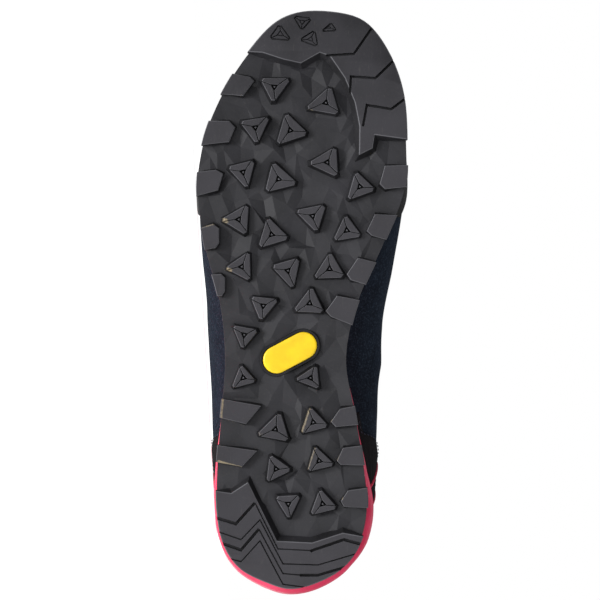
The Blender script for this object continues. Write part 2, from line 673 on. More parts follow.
OUTLINE_STEPS = np.linspace(0, 1, len(OUTLINE))
HALF_WIDTH = track(OUTLINE_STEPS, column(OUTLINE, "lateral"), column(OUTLINE, "medial"))
FLARE = track(OUTLINE_STEPS, column(OUTLINE, "flare_lateral"), column(OUTLINE, "flare_medial"))
EDGE_ALONG = track(column(EDGE, "at"), column(EDGE, "along"), column(EDGE, "along"))
EDGE_ACROSS = track(column(EDGE, "at"), column(EDGE, "lateral"), column(EDGE, "medial"))
EDGE_HEEL = track(column(EDGE, "at"), column(EDGE, "heel"), column(EDGE, "heel"))
EDGE_INSTEP = track(column(EDGE, "at"), column(EDGE, "instep"), column(EDGE, "instep"))
BELLY = track(column(SECTION, "at"), column(SECTION, "belly_lateral"), column(SECTION, "belly_medial"))
SHOULDER = track(
    column(SECTION, "at"), column(SECTION, "shoulder_lateral"), column(SECTION, "shoulder_medial")
)
RISE = track(column(SECTION, "at"), column(SECTION, "rise"), column(SECTION, "rise"))
DROP = track(column(SECTION, "at"), column(SECTION, "drop"), column(SECTION, "drop"))


def ground(share):
    """Height of the lugs' tips above the ground: bevel at the heel, low arch and toe spring."""
    share = np.asarray(share, float)
    heel = np.clip(1 - share / HEEL_BEVEL_END, 0, 1) ** 2
    arch = np.sin(np.pi * np.clip((share - ARCH_START) / (ARCH_END - ARCH_START), 0, 1)) ** 2
    toe = np.clip((share - TOE_SPRING_START) / (1 - TOE_SPRING_START), 0, None) ** 2
    return HEEL_BEVEL * heel + ARCH_RISE * arch + TOE_SPRING * toe


def thickness(share):
    """How thick the foam is, from heel to toe."""
    return HEEL_STACK * np.interp(share, column(STACK, "along"), column(STACK, "thickness"))


def plate_top(share):
    """Height of the rubber plate's top."""
    return ground(share) + LUG_HEIGHT + PLATE


def midsole_top(share):
    """Height of the foam's top."""
    return plate_top(share) + GAP + thickness(share)


def edge_point(place):
    """A point of the sole's outline, seen from below."""
    return np.stack([share_at(place) * SOLE_LENGTH, HALF_WIDTH(place) * BALL_WIDTH / 2], -1)


def outward(place):
    """The outline's outward direction."""
    along = edge_point(place + OUTLINE_STEP) - edge_point(place - OUTLINE_STEP)
    side = np.stack([along[..., 1], -along[..., 0]], -1)
    return side / np.linalg.norm(side, axis=-1, keepdims=True)


def outward_3d(place):
    """The outline's outward direction, level."""
    out = outward(place)
    return np.concatenate([out, np.zeros_like(out[..., :1])], -1)


def inset_point(place, distance):
    """A point at a distance in from the outline."""
    return edge_point(place) - outward(place) * np.asarray(distance)[..., None]


def inset_share(place, name):
    """How much of an inset holds at a place, the same on both sides."""
    step = 1 - np.abs(1 - np.asarray(place, float) % 2)
    return np.interp(step, column(INSET, "at"), column(INSET, name))


def tread_inset(place):
    """How far the tread's edge stands in from the outline."""
    return MIDSOLE_FLARE * np.maximum(FLARE(place), 0)


def midsole_inset(place):
    """How far the foam's side stands in from the outline."""
    return (FEATHER_INSET + GAP) * inset_share(place, "midsole")


def feather_inset(place):
    """How far the upper's foot stands in from the outline."""
    return FEATHER_INSET + (HEEL_FEATHER_INSET - FEATHER_INSET) * inset_share(place, "feather")


def with_height(flat, height):
    """Flat points at a height."""
    return np.concatenate([flat, np.broadcast_to(height, flat.shape[:-1])[..., None]], -1)


def feather(place):
    """Where the upper meets the sole."""
    flat = inset_point(place, feather_inset(place))
    return with_height(flat, midsole_top(share_at(place)) + GAP)


def opening(place):
    """The edge of collar and throat."""
    height = EDGE_HEEL(place) * HEEL_HEIGHT + EDGE_INSTEP(place) * INSTEP_HEIGHT
    return np.stack([EDGE_ALONG(place) * SOLE_LENGTH, EDGE_ACROSS(place) * BALL_WIDTH / 2, height], -1)


def skin(place, up):
    """The upper's outer surface: place goes round the loop, up from the feather line to the edge."""
    place, up = np.broadcast_arrays(np.asarray(place, float), np.asarray(up, float))
    low = feather(place)
    high = opening(place)
    out = outward_3d(place)
    height = np.zeros_like(low)
    height[..., 2] = high[..., 2] - low[..., 2]
    belly = low + out * (BELLY(place) * BALL_WIDTH)[..., None] + height * RISE(place)[..., None]
    shoulder = high + out * (SHOULDER(place) * BALL_WIDTH)[..., None] - height * DROP(place)[..., None]
    up = up[..., None]
    down = 1 - up
    return down**3 * low + 3 * down**2 * up * belly + 3 * down * up**2 * shoulder + up**3 * high


def skin_normal(place, up):
    """The direction out of the upper's outer surface."""
    along = skin(place + PLACE_STEP, up) - skin(place - PLACE_STEP, up)
    across = skin(place, np.minimum(up + UP_STEP, 1)) - skin(place, np.maximum(up - UP_STEP, 0))
    normal = np.cross(along, across)
    return normal / np.linalg.norm(normal, axis=-1, keepdims=True)


def creased(points):
    """How far the creases move each point of the upper outwards."""
    relief = np.zeros(points.shape[:-1])
    for crease in CREASES:
        start = np.array([crease.x1 * SOLE_LENGTH, crease.z1 * HEEL_HEIGHT])
        end = np.array([crease.x2 * SOLE_LENGTH, crease.z2 * HEEL_HEIGHT])
        run = end - start
        flat = points[..., [0, 2]]
        t = np.clip((flat - start) @ run / (run @ run), 0, 1)
        near = start + t[..., None] * run
        gap = np.linalg.norm(flat - near, axis=-1) / (crease.width * MM)
        fade = np.sin(np.pi * (CREASE_FADE + (1 - 2 * CREASE_FADE) * t))
        side = 1
        if crease.side:
            side = np.clip(crease.side * points[..., 1] / CREASE_SIDE_FADE, 0, 1)
        relief -= crease.depth * MM * np.exp(-(gap**2)) * fade * side
    return relief


def raised(place, up, distance):
    """Points at a distance from the upper's creased outer surface."""
    place, up, distance = np.broadcast_arrays(place, up, distance)
    base = skin(place, up)
    return base + skin_normal(place, up) * (distance + creased(base))[..., None]


def up_at(places, heights, rows=120):
    """How far up the skin reaches each height, at each place."""
    ups = np.linspace(0, 1, rows)
    grid = skin(places[:, None], ups[None, :])[..., 2]
    return np.array([np.interp(height, line, ups) for height, line in zip(heights, grid)])


def colour(hexadecimal):
    """Linear RGBA from an sRGB hex string."""
    channels = [int(hexadecimal[i : i + 2], 16) / 255 for i in (0, 2, 4)]
    return [c / 12.92 if c <= 0.04045 else ((c + 0.055) / 1.055) ** 2.4 for c in channels] + [1]


def on_sole(pair):
    """A place on the sole, in metres, from its shares."""
    return (pair[0] * SOLE_LENGTH, pair[1] * BALL_WIDTH / 2)


def stand_matrix(record):
    """The move from the standing shoe to the lying one, found from the two mounts on lug tips."""
    found = {mount["name"]: mount for mount in record["mounts"]}
    local = [np.array([*on_sole(pair), 0]) for pair in MOUNT_LUGS.values()]
    world = [np.array(found[name]["pos_m"]) for name in MOUNT_LUGS]
    down = np.array(found["heel_tread"]["axis"])
    frames = []
    for pair, third in ((local, np.array([0, 0, 1.0])), (world, -down)):
        third = third / np.linalg.norm(third)
        first = pair[1] - pair[0]
        first = first - third * (first @ third)
        first = first / np.linalg.norm(first)
        frames.append(np.stack([first, np.cross(third, first), third], 1))
    turn = frames[1] @ frames[0].T
    matrix = np.eye(4)
    matrix[:3, :3] = turn
    matrix[:3, 3] = world[0] - turn @ local[0]
    return Matrix(matrix.tolist())


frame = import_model()
STAND = stand_matrix(frame["record"])
RANDOM = np.random.default_rng(7)


def store(mesh, name, values):
    """A point attribute: one number or one vector for each vertex."""
    values = np.asarray(values, np.float32)
    vector = values.ndim == 2
    attribute = mesh.attributes.new(name, "FLOAT_VECTOR" if vector else "FLOAT", "POINT")
    attribute.data.foreach_set("vector" if vector else "value", values.ravel())


def coordinates(mesh):
    """A row of x, y and z for each vertex."""
    flat = np.zeros(len(mesh.vertices) * 3, np.float32)
    mesh.vertices.foreach_get("co", flat)
    return flat.reshape(-1, 3)


def linked(name, data):
    """A new object in the scene."""
    made = bpy.data.objects.new(name, data)
    bpy.context.scene.collection.objects.link(made)
    return made


def evaluated_mesh(thing):
    """The plain mesh that an object's modifiers make."""
    bpy.context.view_layer.update()
    graph = bpy.context.evaluated_depsgraph_get()
    return bpy.data.meshes.new_from_object(thing.evaluated_get(graph))


def piece(name, mesh, finishes, replaced=()):
    """Lays a standing mesh down with the shoe and gives it its materials and its place in the frame."""
    for finish in finishes:
        mesh.materials.append(finish)
    store(mesh, "shoe", coordinates(mesh))
    mesh.transform(STAND)
    made = linked(name, mesh)
    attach(made, "root")
    if replaced:
        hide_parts(*replaced)
    return made


def smooth(mesh, degrees):
    """Shades a mesh smooth but for edges sharper than an angle."""
    mesh.shade_smooth()
    mesh.set_sharp_from_angle(angle=math.radians(degrees))


def from_bmesh(name, work):
    """A mesh with its faces pointing outwards."""
    mesh = bpy.data.meshes.new(name)
    bmesh.ops.recalc_face_normals(work, faces=work.faces)
    work.to_mesh(mesh)
    work.free()
    return mesh


def grid_mesh(name, points, turned=False):
    """A smooth surface through a grid of points, closed where it meets itself; cloth holds its run."""
    count, rows = points.shape[:2]
    index = np.arange(count * rows).reshape(count, rows)
    quads = np.stack([index[:-1, :-1], index[1:, :-1], index[1:, 1:], index[:-1, 1:]], -1).reshape(-1, 4)
    if turned:
        quads = quads[:, ::-1]
    mesh = bpy.data.meshes.new(name)
    mesh.from_pydata(points.reshape(-1, 3).tolist(), [], quads.tolist())
    steps = np.linalg.norm(np.diff(points, axis=0), axis=-1).mean(axis=1)
    along = np.concatenate([[0], np.cumsum(steps)])
    across = np.cumsum(np.linalg.norm(np.diff(points, axis=1), axis=-1), axis=1)
    across = np.concatenate([np.zeros((count, 1)), across], 1)
    cloth = np.stack([np.broadcast_to(along[:, None], across.shape), across, np.zeros_like(across)], -1)
    corners = np.zeros(len(mesh.loops), np.int32)
    mesh.loops.foreach_get("vertex_index", corners)
    attribute = mesh.attributes.new("cloth", "FLOAT_VECTOR", "CORNER")
    attribute.data.foreach_set("vector", cloth.reshape(-1, 3)[corners].astype(np.float32).ravel())
    work = bmesh.new()
    work.from_mesh(mesh)
    bmesh.ops.remove_doubles(work, verts=work.verts, dist=1e-7)
    work.to_mesh(mesh)
    work.free()
    mesh.shade_smooth()
    return mesh


def joined(name, meshes):
    """One mesh from several, with their attributes and material numbers kept."""
    objects = [linked(mesh.name, mesh) for mesh in meshes]
    with bpy.context.temp_override(
        active_object=objects[0], object=objects[0], selected_objects=objects,
        selected_editable_objects=objects,
    ):
        bpy.ops.object.join()
    mesh = objects[0].data
    bpy.data.objects.remove(objects[0])
    mesh.name = name
    return mesh


# Nodes and materials. Each material reads the standing shoe's own coordinates, the attribute shoe, or the run
# of the cloth in metres, the attribute cloth.

NOISE = "ShaderNodeTexNoise"
MATH = "ShaderNodeMath"
MIX = "ShaderNodeMix"
RANGE = "ShaderNodeMapRange"
MAPPING = "ShaderNodeMapping"
VECTOR = "ShaderNodeVectorMath"
ATTRIBUTE = "ShaderNodeAttribute"
BUMP = "ShaderNodeBump"


def fill(tree, made, inputs):
    """Links or fills a node's inputs; a node given as input stands for its first output in use."""
    for key, value in inputs.items():
        if isinstance(value, bpy.types.Node):
            value = next(socket for socket in value.outputs if socket.enabled)
        if isinstance(value, bpy.types.NodeSocket):
            tree.links.new(value, made.inputs[key])
        else:
            made.inputs[key].default_value = value


def node(tree, kind, inputs, **settings):
    """Adds a node, sets it up, and links or fills its inputs."""
    made = tree.nodes.new(kind)
    for key, value in settings.items():
        setattr(made, key, value)
    fill(tree, made, inputs)
    return made


def new_material(name, **values):
    """A named material with values on its shader's sockets, and the shoe's coordinates to read."""
    made = bpy.data.materials.new(name)
    made.use_nodes = True
    tree = made.node_tree
    shader = tree.nodes["Principled BSDF"]
    fill(tree, shader, {key.replace("_", " "): value for key, value in values.items()})
    where = node(tree, ATTRIBUTE, {}, attribute_name="shoe").outputs["Vector"]
    return made, tree, shader, where


def carbon_rubber():
    """Carbon-black rubber, moulded: matt grey, dusty on the tips, dark between the lugs, scuffed rims."""
    made, tree, shader, where = new_material("carbon_rubber_moulded", Specular_IOR_Level=0.25)
    depth = node(tree, ATTRIBUTE, {}, attribute_name="depth").outputs["Fac"]
    standing = node(tree, ATTRIBUTE, {}, attribute_name="standing").outputs["Fac"]
    low = node(tree, RANGE, {"Value": depth, "From Min": 0.25 * MM, "From Max": 0.75 * MM})
    wall = node(tree, MIX, {0: low, 6: colour(TIP_GREY), 7: colour(FLANK_GREY)}, data_type="RGBA")
    base = node(tree, MIX, {0: standing, 6: colour(FLOOR_GREY), 7: wall}, data_type="RGBA")
    along = node(tree, "ShaderNodeSeparateXYZ", {0: where}).outputs["X"]
    fresh = {"Value": along, "From Min": 0.74 * SOLE_LENGTH, "From Max": SOLE_LENGTH, "To Max": 0.68}
    base = node(tree, MIX, {0: node(tree, RANGE, fresh), 6: base, 7: colour("1D1D20")}, data_type="RGBA")
    cloudy = node(tree, NOISE, {"Vector": where, "Scale": 1 / (16 * MM), "Detail": 4.0})
    haze = node(tree, RANGE, {"Value": cloudy, "From Min": 0.35, "From Max": 0.72, "To Max": 0.22})
    base = node(tree, MIX, {0: haze, 6: base, 7: colour("45444A")}, data_type="RGBA")
    dusty = node(tree, NOISE, {"Vector": where, "Scale": 1 / (1.3 * MM), "Detail": 5.0, "Roughness": 0.7})
    dust = node(tree, RANGE, {"Value": dusty, "From Min": 0.56, "From Max": 0.82, "To Max": 0.12})
    base = node(tree, MIX, {0: dust, 6: base, 7: colour("77746F")}, data_type="RGBA")
    drawn = node(tree, MAPPING, {"Vector": where, "Scale": (0.25, 3.0, 1.0)})
    scratch = node(tree, NOISE, {"Vector": drawn, "Scale": 1 / (2.2 * MM), "Detail": 3.0})
    lines = node(tree, RANGE, {"Value": scratch, "From Min": 0.64, "From Max": 0.72, "To Max": 0.07})
    tips = node(tree, MATH, {0: 1.0, 1: low}, operation="SUBTRACT")
    lines = node(tree, MATH, {0: lines, 1: tips}, operation="MULTIPLY")
    base = node(tree, MIX, {0: lines, 6: base, 7: colour("85827D")}, data_type="RGBA")
    edge_in = node(tree, RANGE, {"Value": depth, "From Min": 0.02 * MM, "From Max": 0.10 * MM})
    rim = {"Value": depth, "From Min": 0.60 * MM, "From Max": 0.25 * MM, "To Max": 0.75}
    edge_out = node(tree, RANGE, rim)
    rubbed = node(tree, MATH, {0: edge_in, 1: edge_out}, operation="MULTIPLY")
    rubbed = node(tree, MATH, {0: rubbed, 1: standing}, operation="MULTIPLY")
    rubbed = node(tree, MATH, {0: rubbed, 1: cloudy}, operation="MULTIPLY")
    base = node(tree, MIX, {0: rubbed, 6: base, 7: colour("7A7A7F")}, data_type="RGBA")
    worn = scuffs(tree, where, depth)
    base = node(tree, MIX, {0: worn, 6: base, 7: colour("94876E")}, data_type="RGBA")
    rough = node(tree, RANGE, {"Value": cloudy, "To Min": 0.48, "To Max": 0.68})
    grain = node(tree, NOISE, {"Vector": where, "Scale": 1 / (0.5 * MM), "Detail": 2.0})
    fine = node(tree, BUMP, {"Height": grain, "Distance": 0.05 * MM, "Strength": 0.5})
    wavy = node(tree, BUMP, {"Height": cloudy, "Distance": 0.25 * MM, "Strength": 0.5, "Normal": fine})
    fill(tree, shader, {"Base Color": base, "Roughness": rough, "Normal": wavy})
    return made


def scuffs(tree, where, depth):
    """Pale torn strokes along the rims of lugs and blocks, less on the flanks below them."""
    flat = node(tree, VECTOR, {0: where, 1: (1, 1, 0)}, operation="MULTIPLY")
    total = node(tree, MATH, {0: 0.0, 1: 0.0}, operation="ADD")
    for scuff in SCUFFS:
        first = np.array([scuff.along1 * SOLE_LENGTH, scuff.across1 * BALL_WIDTH / 2, 0])
        arm = np.array([scuff.along2 * SOLE_LENGTH, scuff.across2 * BALL_WIDTH / 2, 0]) - first
        offset = node(tree, VECTOR, {0: flat, 1: first}, operation="SUBTRACT")
        share = node(tree, VECTOR, {0: offset, 1: arm / (arm @ arm)}, operation="DOT_PRODUCT")
        share = node(tree, RANGE, {"Value": share.outputs["Value"]})
        nearest = node(tree, VECTOR, {0: arm, "Scale": share}, operation="SCALE")
        far = node(tree, VECTOR, {0: offset, 1: nearest}, operation="DISTANCE").outputs["Value"]
        reach = scuff.width * MM
        edges = {"From Min": 1.6 * reach, "From Max": 0.5 * reach, "To Max": scuff.strength}
        stroke = node(tree, RANGE, {"Value": far, **edges})
        total = node(tree, MATH, {0: total, 1: stroke}, operation="MAXIMUM")
    torn = node(tree, NOISE, {"Vector": where, "Scale": 1 / (1.6 * MM), "Detail": 6.0, "Roughness": 0.75})
    deep = {"Value": depth, "From Min": 0.8 * MM, "From Max": 2.5 * MM, "To Max": -0.4}
    for more in (torn, node(tree, RANGE, deep)):
        total = node(tree, MATH, {0: total, 1: more}, operation="ADD")
    return node(tree, RANGE, {"Value": total, "From Min": 1.15, "From Max": 1.55, "To Max": 0.85})


def plain(name):
    """A finish of one colour, a little uneven in tone, with a fine grain."""
    finish = FINISHES[name]
    made, tree, shader, where = new_material(
        name, Roughness=finish.roughness, Specular_IOR_Level=finish.specular
    )
    cloudy = node(tree, NOISE, {"Vector": where, "Scale": 1 / (12 * MM), "Detail": 4.0})
    dark = [channel * 0.8 for channel in colour(finish.shade)[:3]] + [1]
    light = [min(channel * 1.15, 1) for channel in colour(finish.shade)[:3]] + [1]
    tone = node(tree, RANGE, {"Value": cloudy, "From Min": 0.3, "From Max": 0.7})
    base = node(tree, MIX, {0: tone, 6: dark, 7: light}, data_type="RGBA")
    grain = node(tree, NOISE, {"Vector": where, "Scale": 1 / (finish.grain * MM), "Detail": 3.0})
    fine = node(tree, BUMP, {"Height": grain, "Distance": finish.relief * MM, "Strength": 0.8})
    fill(tree, shader, {"Base Color": base, "Normal": fine})
    return made


def suede():
    """Navy split suede, brushed: a short nap in cloudy strokes with paler flecks and hardly any gloss."""
    made, tree, shader, where = new_material(
        "suede_brushed", Roughness=0.95, Specular_IOR_Level=0.12, Sheen_Weight=0.04, Sheen_Roughness=0.5
    )
    fill(tree, shader, {"Sheen Tint": colour("6F7F9E")})
    drawn = node(tree, MAPPING, {"Vector": where, "Scale": (1.0, 1.0, 2.2)})
    strokes = node(tree, NOISE, {"Vector": drawn, "Scale": 1 / (9 * MM), "Detail": 5.0, "Roughness": 0.6})
    tone = node(tree, RANGE, {"Value": strokes, "From Min": 0.32, "From Max": 0.70})
    base = node(tree, MIX, {0: tone, 6: colour(SUEDE_DEEP), 7: colour(SUEDE_NAP)}, data_type="RGBA")
    nap = node(tree, NOISE, {"Vector": where, "Scale": 1 / (1.0 * MM), "Detail": 5.0, "Roughness": 0.8})
    flecks = node(tree, RANGE, {"Value": nap, "From Min": 0.50, "From Max": 0.66, "To Max": 0.75})
    base = node(tree, MIX, {0: flecks, 6: base, 7: colour("36404D")}, data_type="RGBA")
    fuzz = node(tree, BUMP, {"Height": nap, "Distance": 0.2 * MM, "Strength": 0.9})
    soft = node(tree, BUMP, {"Height": strokes, "Distance": 0.6 * MM, "Strength": 0.6, "Normal": fuzz})
    fill(tree, shader, {"Base Color": base, "Normal": soft})
    return made


def woven(name):
    """Knitted or woven cloth: rows of small stitches that follow the surface, dark in their gaps."""
    cloth = CLOTHS[name]
    made, tree, shader, where = new_material(name, Roughness=0.9, Specular_IOR_Level=0.2)
    run = node(tree, ATTRIBUTE, {}, attribute_name="cloth").outputs["Vector"]
    split = node(tree, "ShaderNodeSeparateXYZ", {0: run})
    waves = []
    for axis in (0, 1):
        waves_per_metre = 2 * math.pi / (cloth.pitch * MM)
        turns = node(tree, MATH, {0: split.outputs[axis], 1: waves_per_metre}, operation="MULTIPLY")
        waves.append(node(tree, MATH, {0: turns}, operation="SINE"))
    weave = node(tree, MATH, {0: waves[0], 1: waves[1]}, operation="MULTIPLY")
    level = node(tree, RANGE, {"Value": weave, "From Min": -0.7, "From Max": 0.7})
    base = node(tree, MIX, {0: level, 6: colour(cloth.gap), 7: colour(cloth.shade)}, data_type="RGBA")
    fuzz = node(tree, NOISE, {"Vector": where, "Scale": 1 / (0.4 * MM), "Detail": 3.0})
    fine = node(tree, BUMP, {"Height": fuzz, "Distance": 0.06 * MM, "Strength": 0.6})
    knit = node(tree, BUMP, {"Height": level, "Distance": 0.2 * MM, "Strength": 0.8, "Normal": fine})
    fill(tree, shader, {"Base Color": base, "Normal": knit})
    return made


def moulded_foam():
    """Raspberry EVA foam, moulded: a satin skin, paler and duller where it is rubbed."""
    made, tree, shader, where = new_material(
        "eva_foam_moulded", Roughness=0.45, Specular_IOR_Level=0.4, Coat_Weight=0.05, Coat_Roughness=0.4
    )
    cloudy = node(tree, NOISE, {"Vector": where, "Scale": 1 / (14 * MM), "Detail": 3.0})
    tone = node(tree, RANGE, {"Value": cloudy, "From Min": 0.3, "From Max": 0.7})
    base = node(tree, MIX, {0: tone, 6: colour("D0244E"), 7: colour("E03A62")}, data_type="RGBA")
    drawn = node(tree, MAPPING, {"Vector": where, "Scale": (1.0, 1.0, 3.0)})
    rubbed = node(tree, NOISE, {"Vector": drawn, "Scale": 1 / (3 * MM), "Detail": 5.0, "Roughness": 0.7})
    marks = node(tree, RANGE, {"Value": rubbed, "From Min": 0.64, "From Max": 0.82, "To Max": 0.25})
    base = node(tree, MIX, {0: marks, 6: base, 7: colour("F08CA2")}, data_type="RGBA")
    grain = node(tree, NOISE, {"Vector": where, "Scale": 1 / (0.8 * MM), "Detail": 2.0})
    fine = node(tree, BUMP, {"Height": grain, "Distance": 0.05 * MM, "Strength": 0.6})
    fill(tree, shader, {"Base Color": base, "Normal": fine})
    return made


def braid():
    """Round polyester lace, braided: strands that cross over, near black, lighter on their crowns."""
    made, tree, shader = new_material("polyester_braided", Roughness=0.8, Specular_IOR_Level=0.3)[:3]
    run = node(tree, ATTRIBUTE, {}, attribute_name="run").outputs["Fac"]
    around = node(tree, ATTRIBUTE, {}, attribute_name="around").outputs["Vector"]
    split = node(tree, "ShaderNodeSeparateXYZ", {0: around})
    along = node(tree, MATH, {0: run, 1: 2 * math.pi / BRAID_PITCH}, operation="MULTIPLY")
    turn = node(tree, MATH, {0: split.outputs[1], 1: split.outputs[0]}, operation="ARCTAN2")
    turn = node(tree, MATH, {0: turn, 1: BRAID_STRANDS}, operation="MULTIPLY")
    sines = []
    for way in ("ADD", "SUBTRACT"):
        strand = node(tree, MATH, {0: along, 1: turn}, operation=way)
        sines.append(node(tree, MATH, {0: strand}, operation="SINE"))
    crowns = node(tree, MATH, {0: sines[0], 1: sines[1]}, operation="MAXIMUM")
    level = node(tree, RANGE, {"Value": crowns, "From Min": 0.1, "From Max": 1.0})
    base = node(tree, MIX, {0: level, 6: colour("0E0E10"), 7: colour("2B2D33")}, data_type="RGBA")
    strands = node(tree, BUMP, {"Height": level, "Distance": 0.3 * MM, "Strength": 0.9})
    fill(tree, shader, {"Base Color": base, "Normal": strands})
    return made


# What repeats or follows a line, made with geometry nodes. The attribute up points away from the surface.

NUMBER = "NodeSocketFloat"
WHOLE = "NodeSocketInt"
GEOMETRY = "NodeSocketGeometry"
NAMED = "GeometryNodeInputNamedAttribute"
STORE = "GeometryNodeStoreNamedAttribute"
CIRCLE = "GeometryNodeCurvePrimitiveCircle"
SWEEP = "GeometryNodeCurveToMesh"
TURN = "FunctionNodeAxesToRotation"
PLACE = "GeometryNodeInstanceOnPoints"


def new_tree(name, sizes):
    """A geometry tree whose named sizes are its inputs."""
    tree = bpy.data.node_groups.new(name, "GeometryNodeTree")
    for label, kind in {"Geometry": GEOMETRY, **sizes}.items():
        tree.interface.new_socket(label, in_out="INPUT", socket_type=kind)
    tree.interface.new_socket("Geometry", in_out="OUTPUT", socket_type=GEOMETRY)
    return tree, tree.nodes.new("NodeGroupInput").outputs


def end_tree(tree, geometry, finish):
    """Ends a tree with plain geometry in one material."""
    real = node(tree, "GeometryNodeRealizeInstances", {"Geometry": geometry})
    even = node(tree, "GeometryNodeSetShadeSmooth", {"Geometry": real})
    made = node(tree, "GeometryNodeSetMaterial", {"Geometry": even, "Material": finish})
    node(tree, "NodeGroupOutput", {0: made})
    return tree


def cord_tree(finish):
    """A round cord along each path; run is its length so far and around the direction out of its middle."""
    tree, sizes = new_tree("cord", {"Radius": NUMBER, "Sides": WHOLE})
    path = node(tree, "GeometryNodeMeshToCurve", {"Mesh": sizes["Geometry"]})
    so_far = node(tree, "GeometryNodeSplineParameter", {}).outputs["Length"]
    path = node(tree, STORE, {"Geometry": path, "Name": "run", "Value": so_far})
    ring = node(tree, CIRCLE, {"Resolution": sizes["Sides"], "Radius": sizes["Radius"]})
    outwards = {"Geometry": ring, "Name": "around", "Value": node(tree, "GeometryNodeInputPosition", {})}
    ring = node(tree, STORE, outwards, data_type="FLOAT_VECTOR")
    cord = node(tree, SWEEP, {"Curve": path, "Profile Curve": ring, "Fill Caps": True})
    return end_tree(tree, cord, finish)


def stitch_tree(finish):
    """Short threads along each path, a little uneven in length."""
    tree, sizes = new_tree("stitches", {"Pitch": NUMBER, "Length": NUMBER, "Width": NUMBER, "Seed": WHOLE})
    path = node(tree, "GeometryNodeMeshToCurve", {"Mesh": sizes["Geometry"]})
    places = {"Curve": path, "Length": sizes["Pitch"]}
    places = node(tree, "GeometryNodeResampleCurve", places, mode="LENGTH")
    thread = node(tree, "GeometryNodeMeshUVSphere", {"Segments": 6, "Rings": 4, "Radius": 0.5})
    along = node(tree, "GeometryNodeInputTangent", {})
    up = node(tree, NAMED, {"Name": "up"}, data_type="FLOAT_VECTOR")
    turn = {"Primary Axis": along, "Secondary Axis": up}
    turn = node(tree, TURN, turn, primary_axis="X", secondary_axis="Z")
    uneven = node(tree, "FunctionNodeRandomValue", {2: 0.85, 3: 1.1, "Seed": sizes["Seed"]})
    length = node(tree, MATH, {0: sizes["Length"], 1: uneven}, operation="MULTIPLY")
    size = node(tree, "ShaderNodeCombineXYZ", {"X": length, "Y": sizes["Width"], "Z": sizes["Width"]})
    row = node(tree, PLACE, {"Points": places, "Instance": thread, "Rotation": turn, "Scale": size})
    return end_tree(tree, row, finish)


def spread(tree, sizes, shape):
    """One shape on every point, turned by the attributes ahead and up."""
    up = node(tree, NAMED, {"Name": "up"}, data_type="FLOAT_VECTOR")
    ahead = node(tree, NAMED, {"Name": "ahead"}, data_type="FLOAT_VECTOR")
    turn = {"Primary Axis": up, "Secondary Axis": ahead}
    turn = node(tree, TURN, turn, primary_axis="Z", secondary_axis="X")
    return node(tree, PLACE, {"Points": sizes["Geometry"], "Instance": shape, "Rotation": turn})


def ring_tree(finish):
    """A rolled ring on every point."""
    tree, sizes = new_tree("ring", {"Radius": NUMBER, "Thickness": NUMBER})
    path = node(tree, CIRCLE, {"Resolution": 16, "Radius": sizes["Radius"]})
    section = node(tree, CIRCLE, {"Resolution": 6, "Radius": sizes["Thickness"]})
    ring = node(tree, SWEEP, {"Curve": path, "Profile Curve": section})
    return end_tree(tree, spread(tree, sizes, ring), finish)


def disc_tree(finish):
    """A flat disc on every point."""
    tree, sizes = new_tree("disc", {"Radius": NUMBER})
    disc = node(tree, "GeometryNodeMeshCircle", {"Vertices": 16, "Radius": sizes["Radius"]}, fill_type="NGON")
    return end_tree(tree, spread(tree, sizes, disc), finish)


def path_mesh(name, paths):
    """Lines for a tree to follow, each a row of points and a row of normals."""
    mesh = bpy.data.meshes.new(name)
    verts = []
    edges = []
    for points, normals in paths:
        first = len(verts)
        verts += points.tolist()
        edges += [(first + i, first + i + 1) for i in range(len(points) - 1)]
    mesh.from_pydata(verts, edges, [])
    store(mesh, "up", np.concatenate([normals for points, normals in paths]))
    return mesh


def run_tree(tree, base, sizes):
    """The plain mesh that a tree makes from a base and its sizes."""
    holder = linked(base.name, base)
    modifier = holder.modifiers.new("made", "NODES")
    modifier.node_group = tree
    for socket in tree.interface.items_tree:
        if socket.in_out == "INPUT" and socket.name in sizes:
            modifier[socket.identifier] = sizes[socket.name]
    mesh = evaluated_mesh(holder)
    holder.modifiers.remove(modifier)
    bpy.data.objects.remove(holder)
    return mesh


# The tread


def offset_outline(outline, distance):
    """A closed outline with every side moved outwards, its corners mitred."""
    points = np.array(outline, float)
    following = np.roll(points, -1, axis=0)
    area = np.sum(points[:, 0] * following[:, 1] - following[:, 0] * points[:, 1])
    sides = following - points
    sides /= np.linalg.norm(sides, axis=1, keepdims=True)
    normals = np.stack([sides[:, 1], -sides[:, 0]], 1) * np.sign(area)
    before = np.roll(normals, 1, axis=0)
    both = normals + before
    both /= np.linalg.norm(both, axis=1, keepdims=True)
    reach = distance / np.clip((both * normals).sum(axis=1), 0.35, None)
    return [tuple(point) for point in points + both * reach[:, None]]


def level_ring(work, outline, height):
    """Adds an outline's points at a height."""
    return [work.verts.new((x, y, height)) for x, y in outline]


def side_wall(work, low, high, number=0):
    """Adds the faces between two like rings, with a material number."""
    for i in range(len(low)):
        j = (i + 1) % len(low)
        work.faces.new((low[i], low[j], high[j], high[i])).material_index = number


def loft(work, rings):
    """Adds to a bmesh a closed body through like rings, each an outline and its height."""
    levels = [level_ring(work, outline, height) for outline, height in rings]
    for low, high in zip(levels, levels[1:]):
        side_wall(work, low, high)
    work.faces.new(levels[0][::-1])
    work.faces.new(levels[-1])


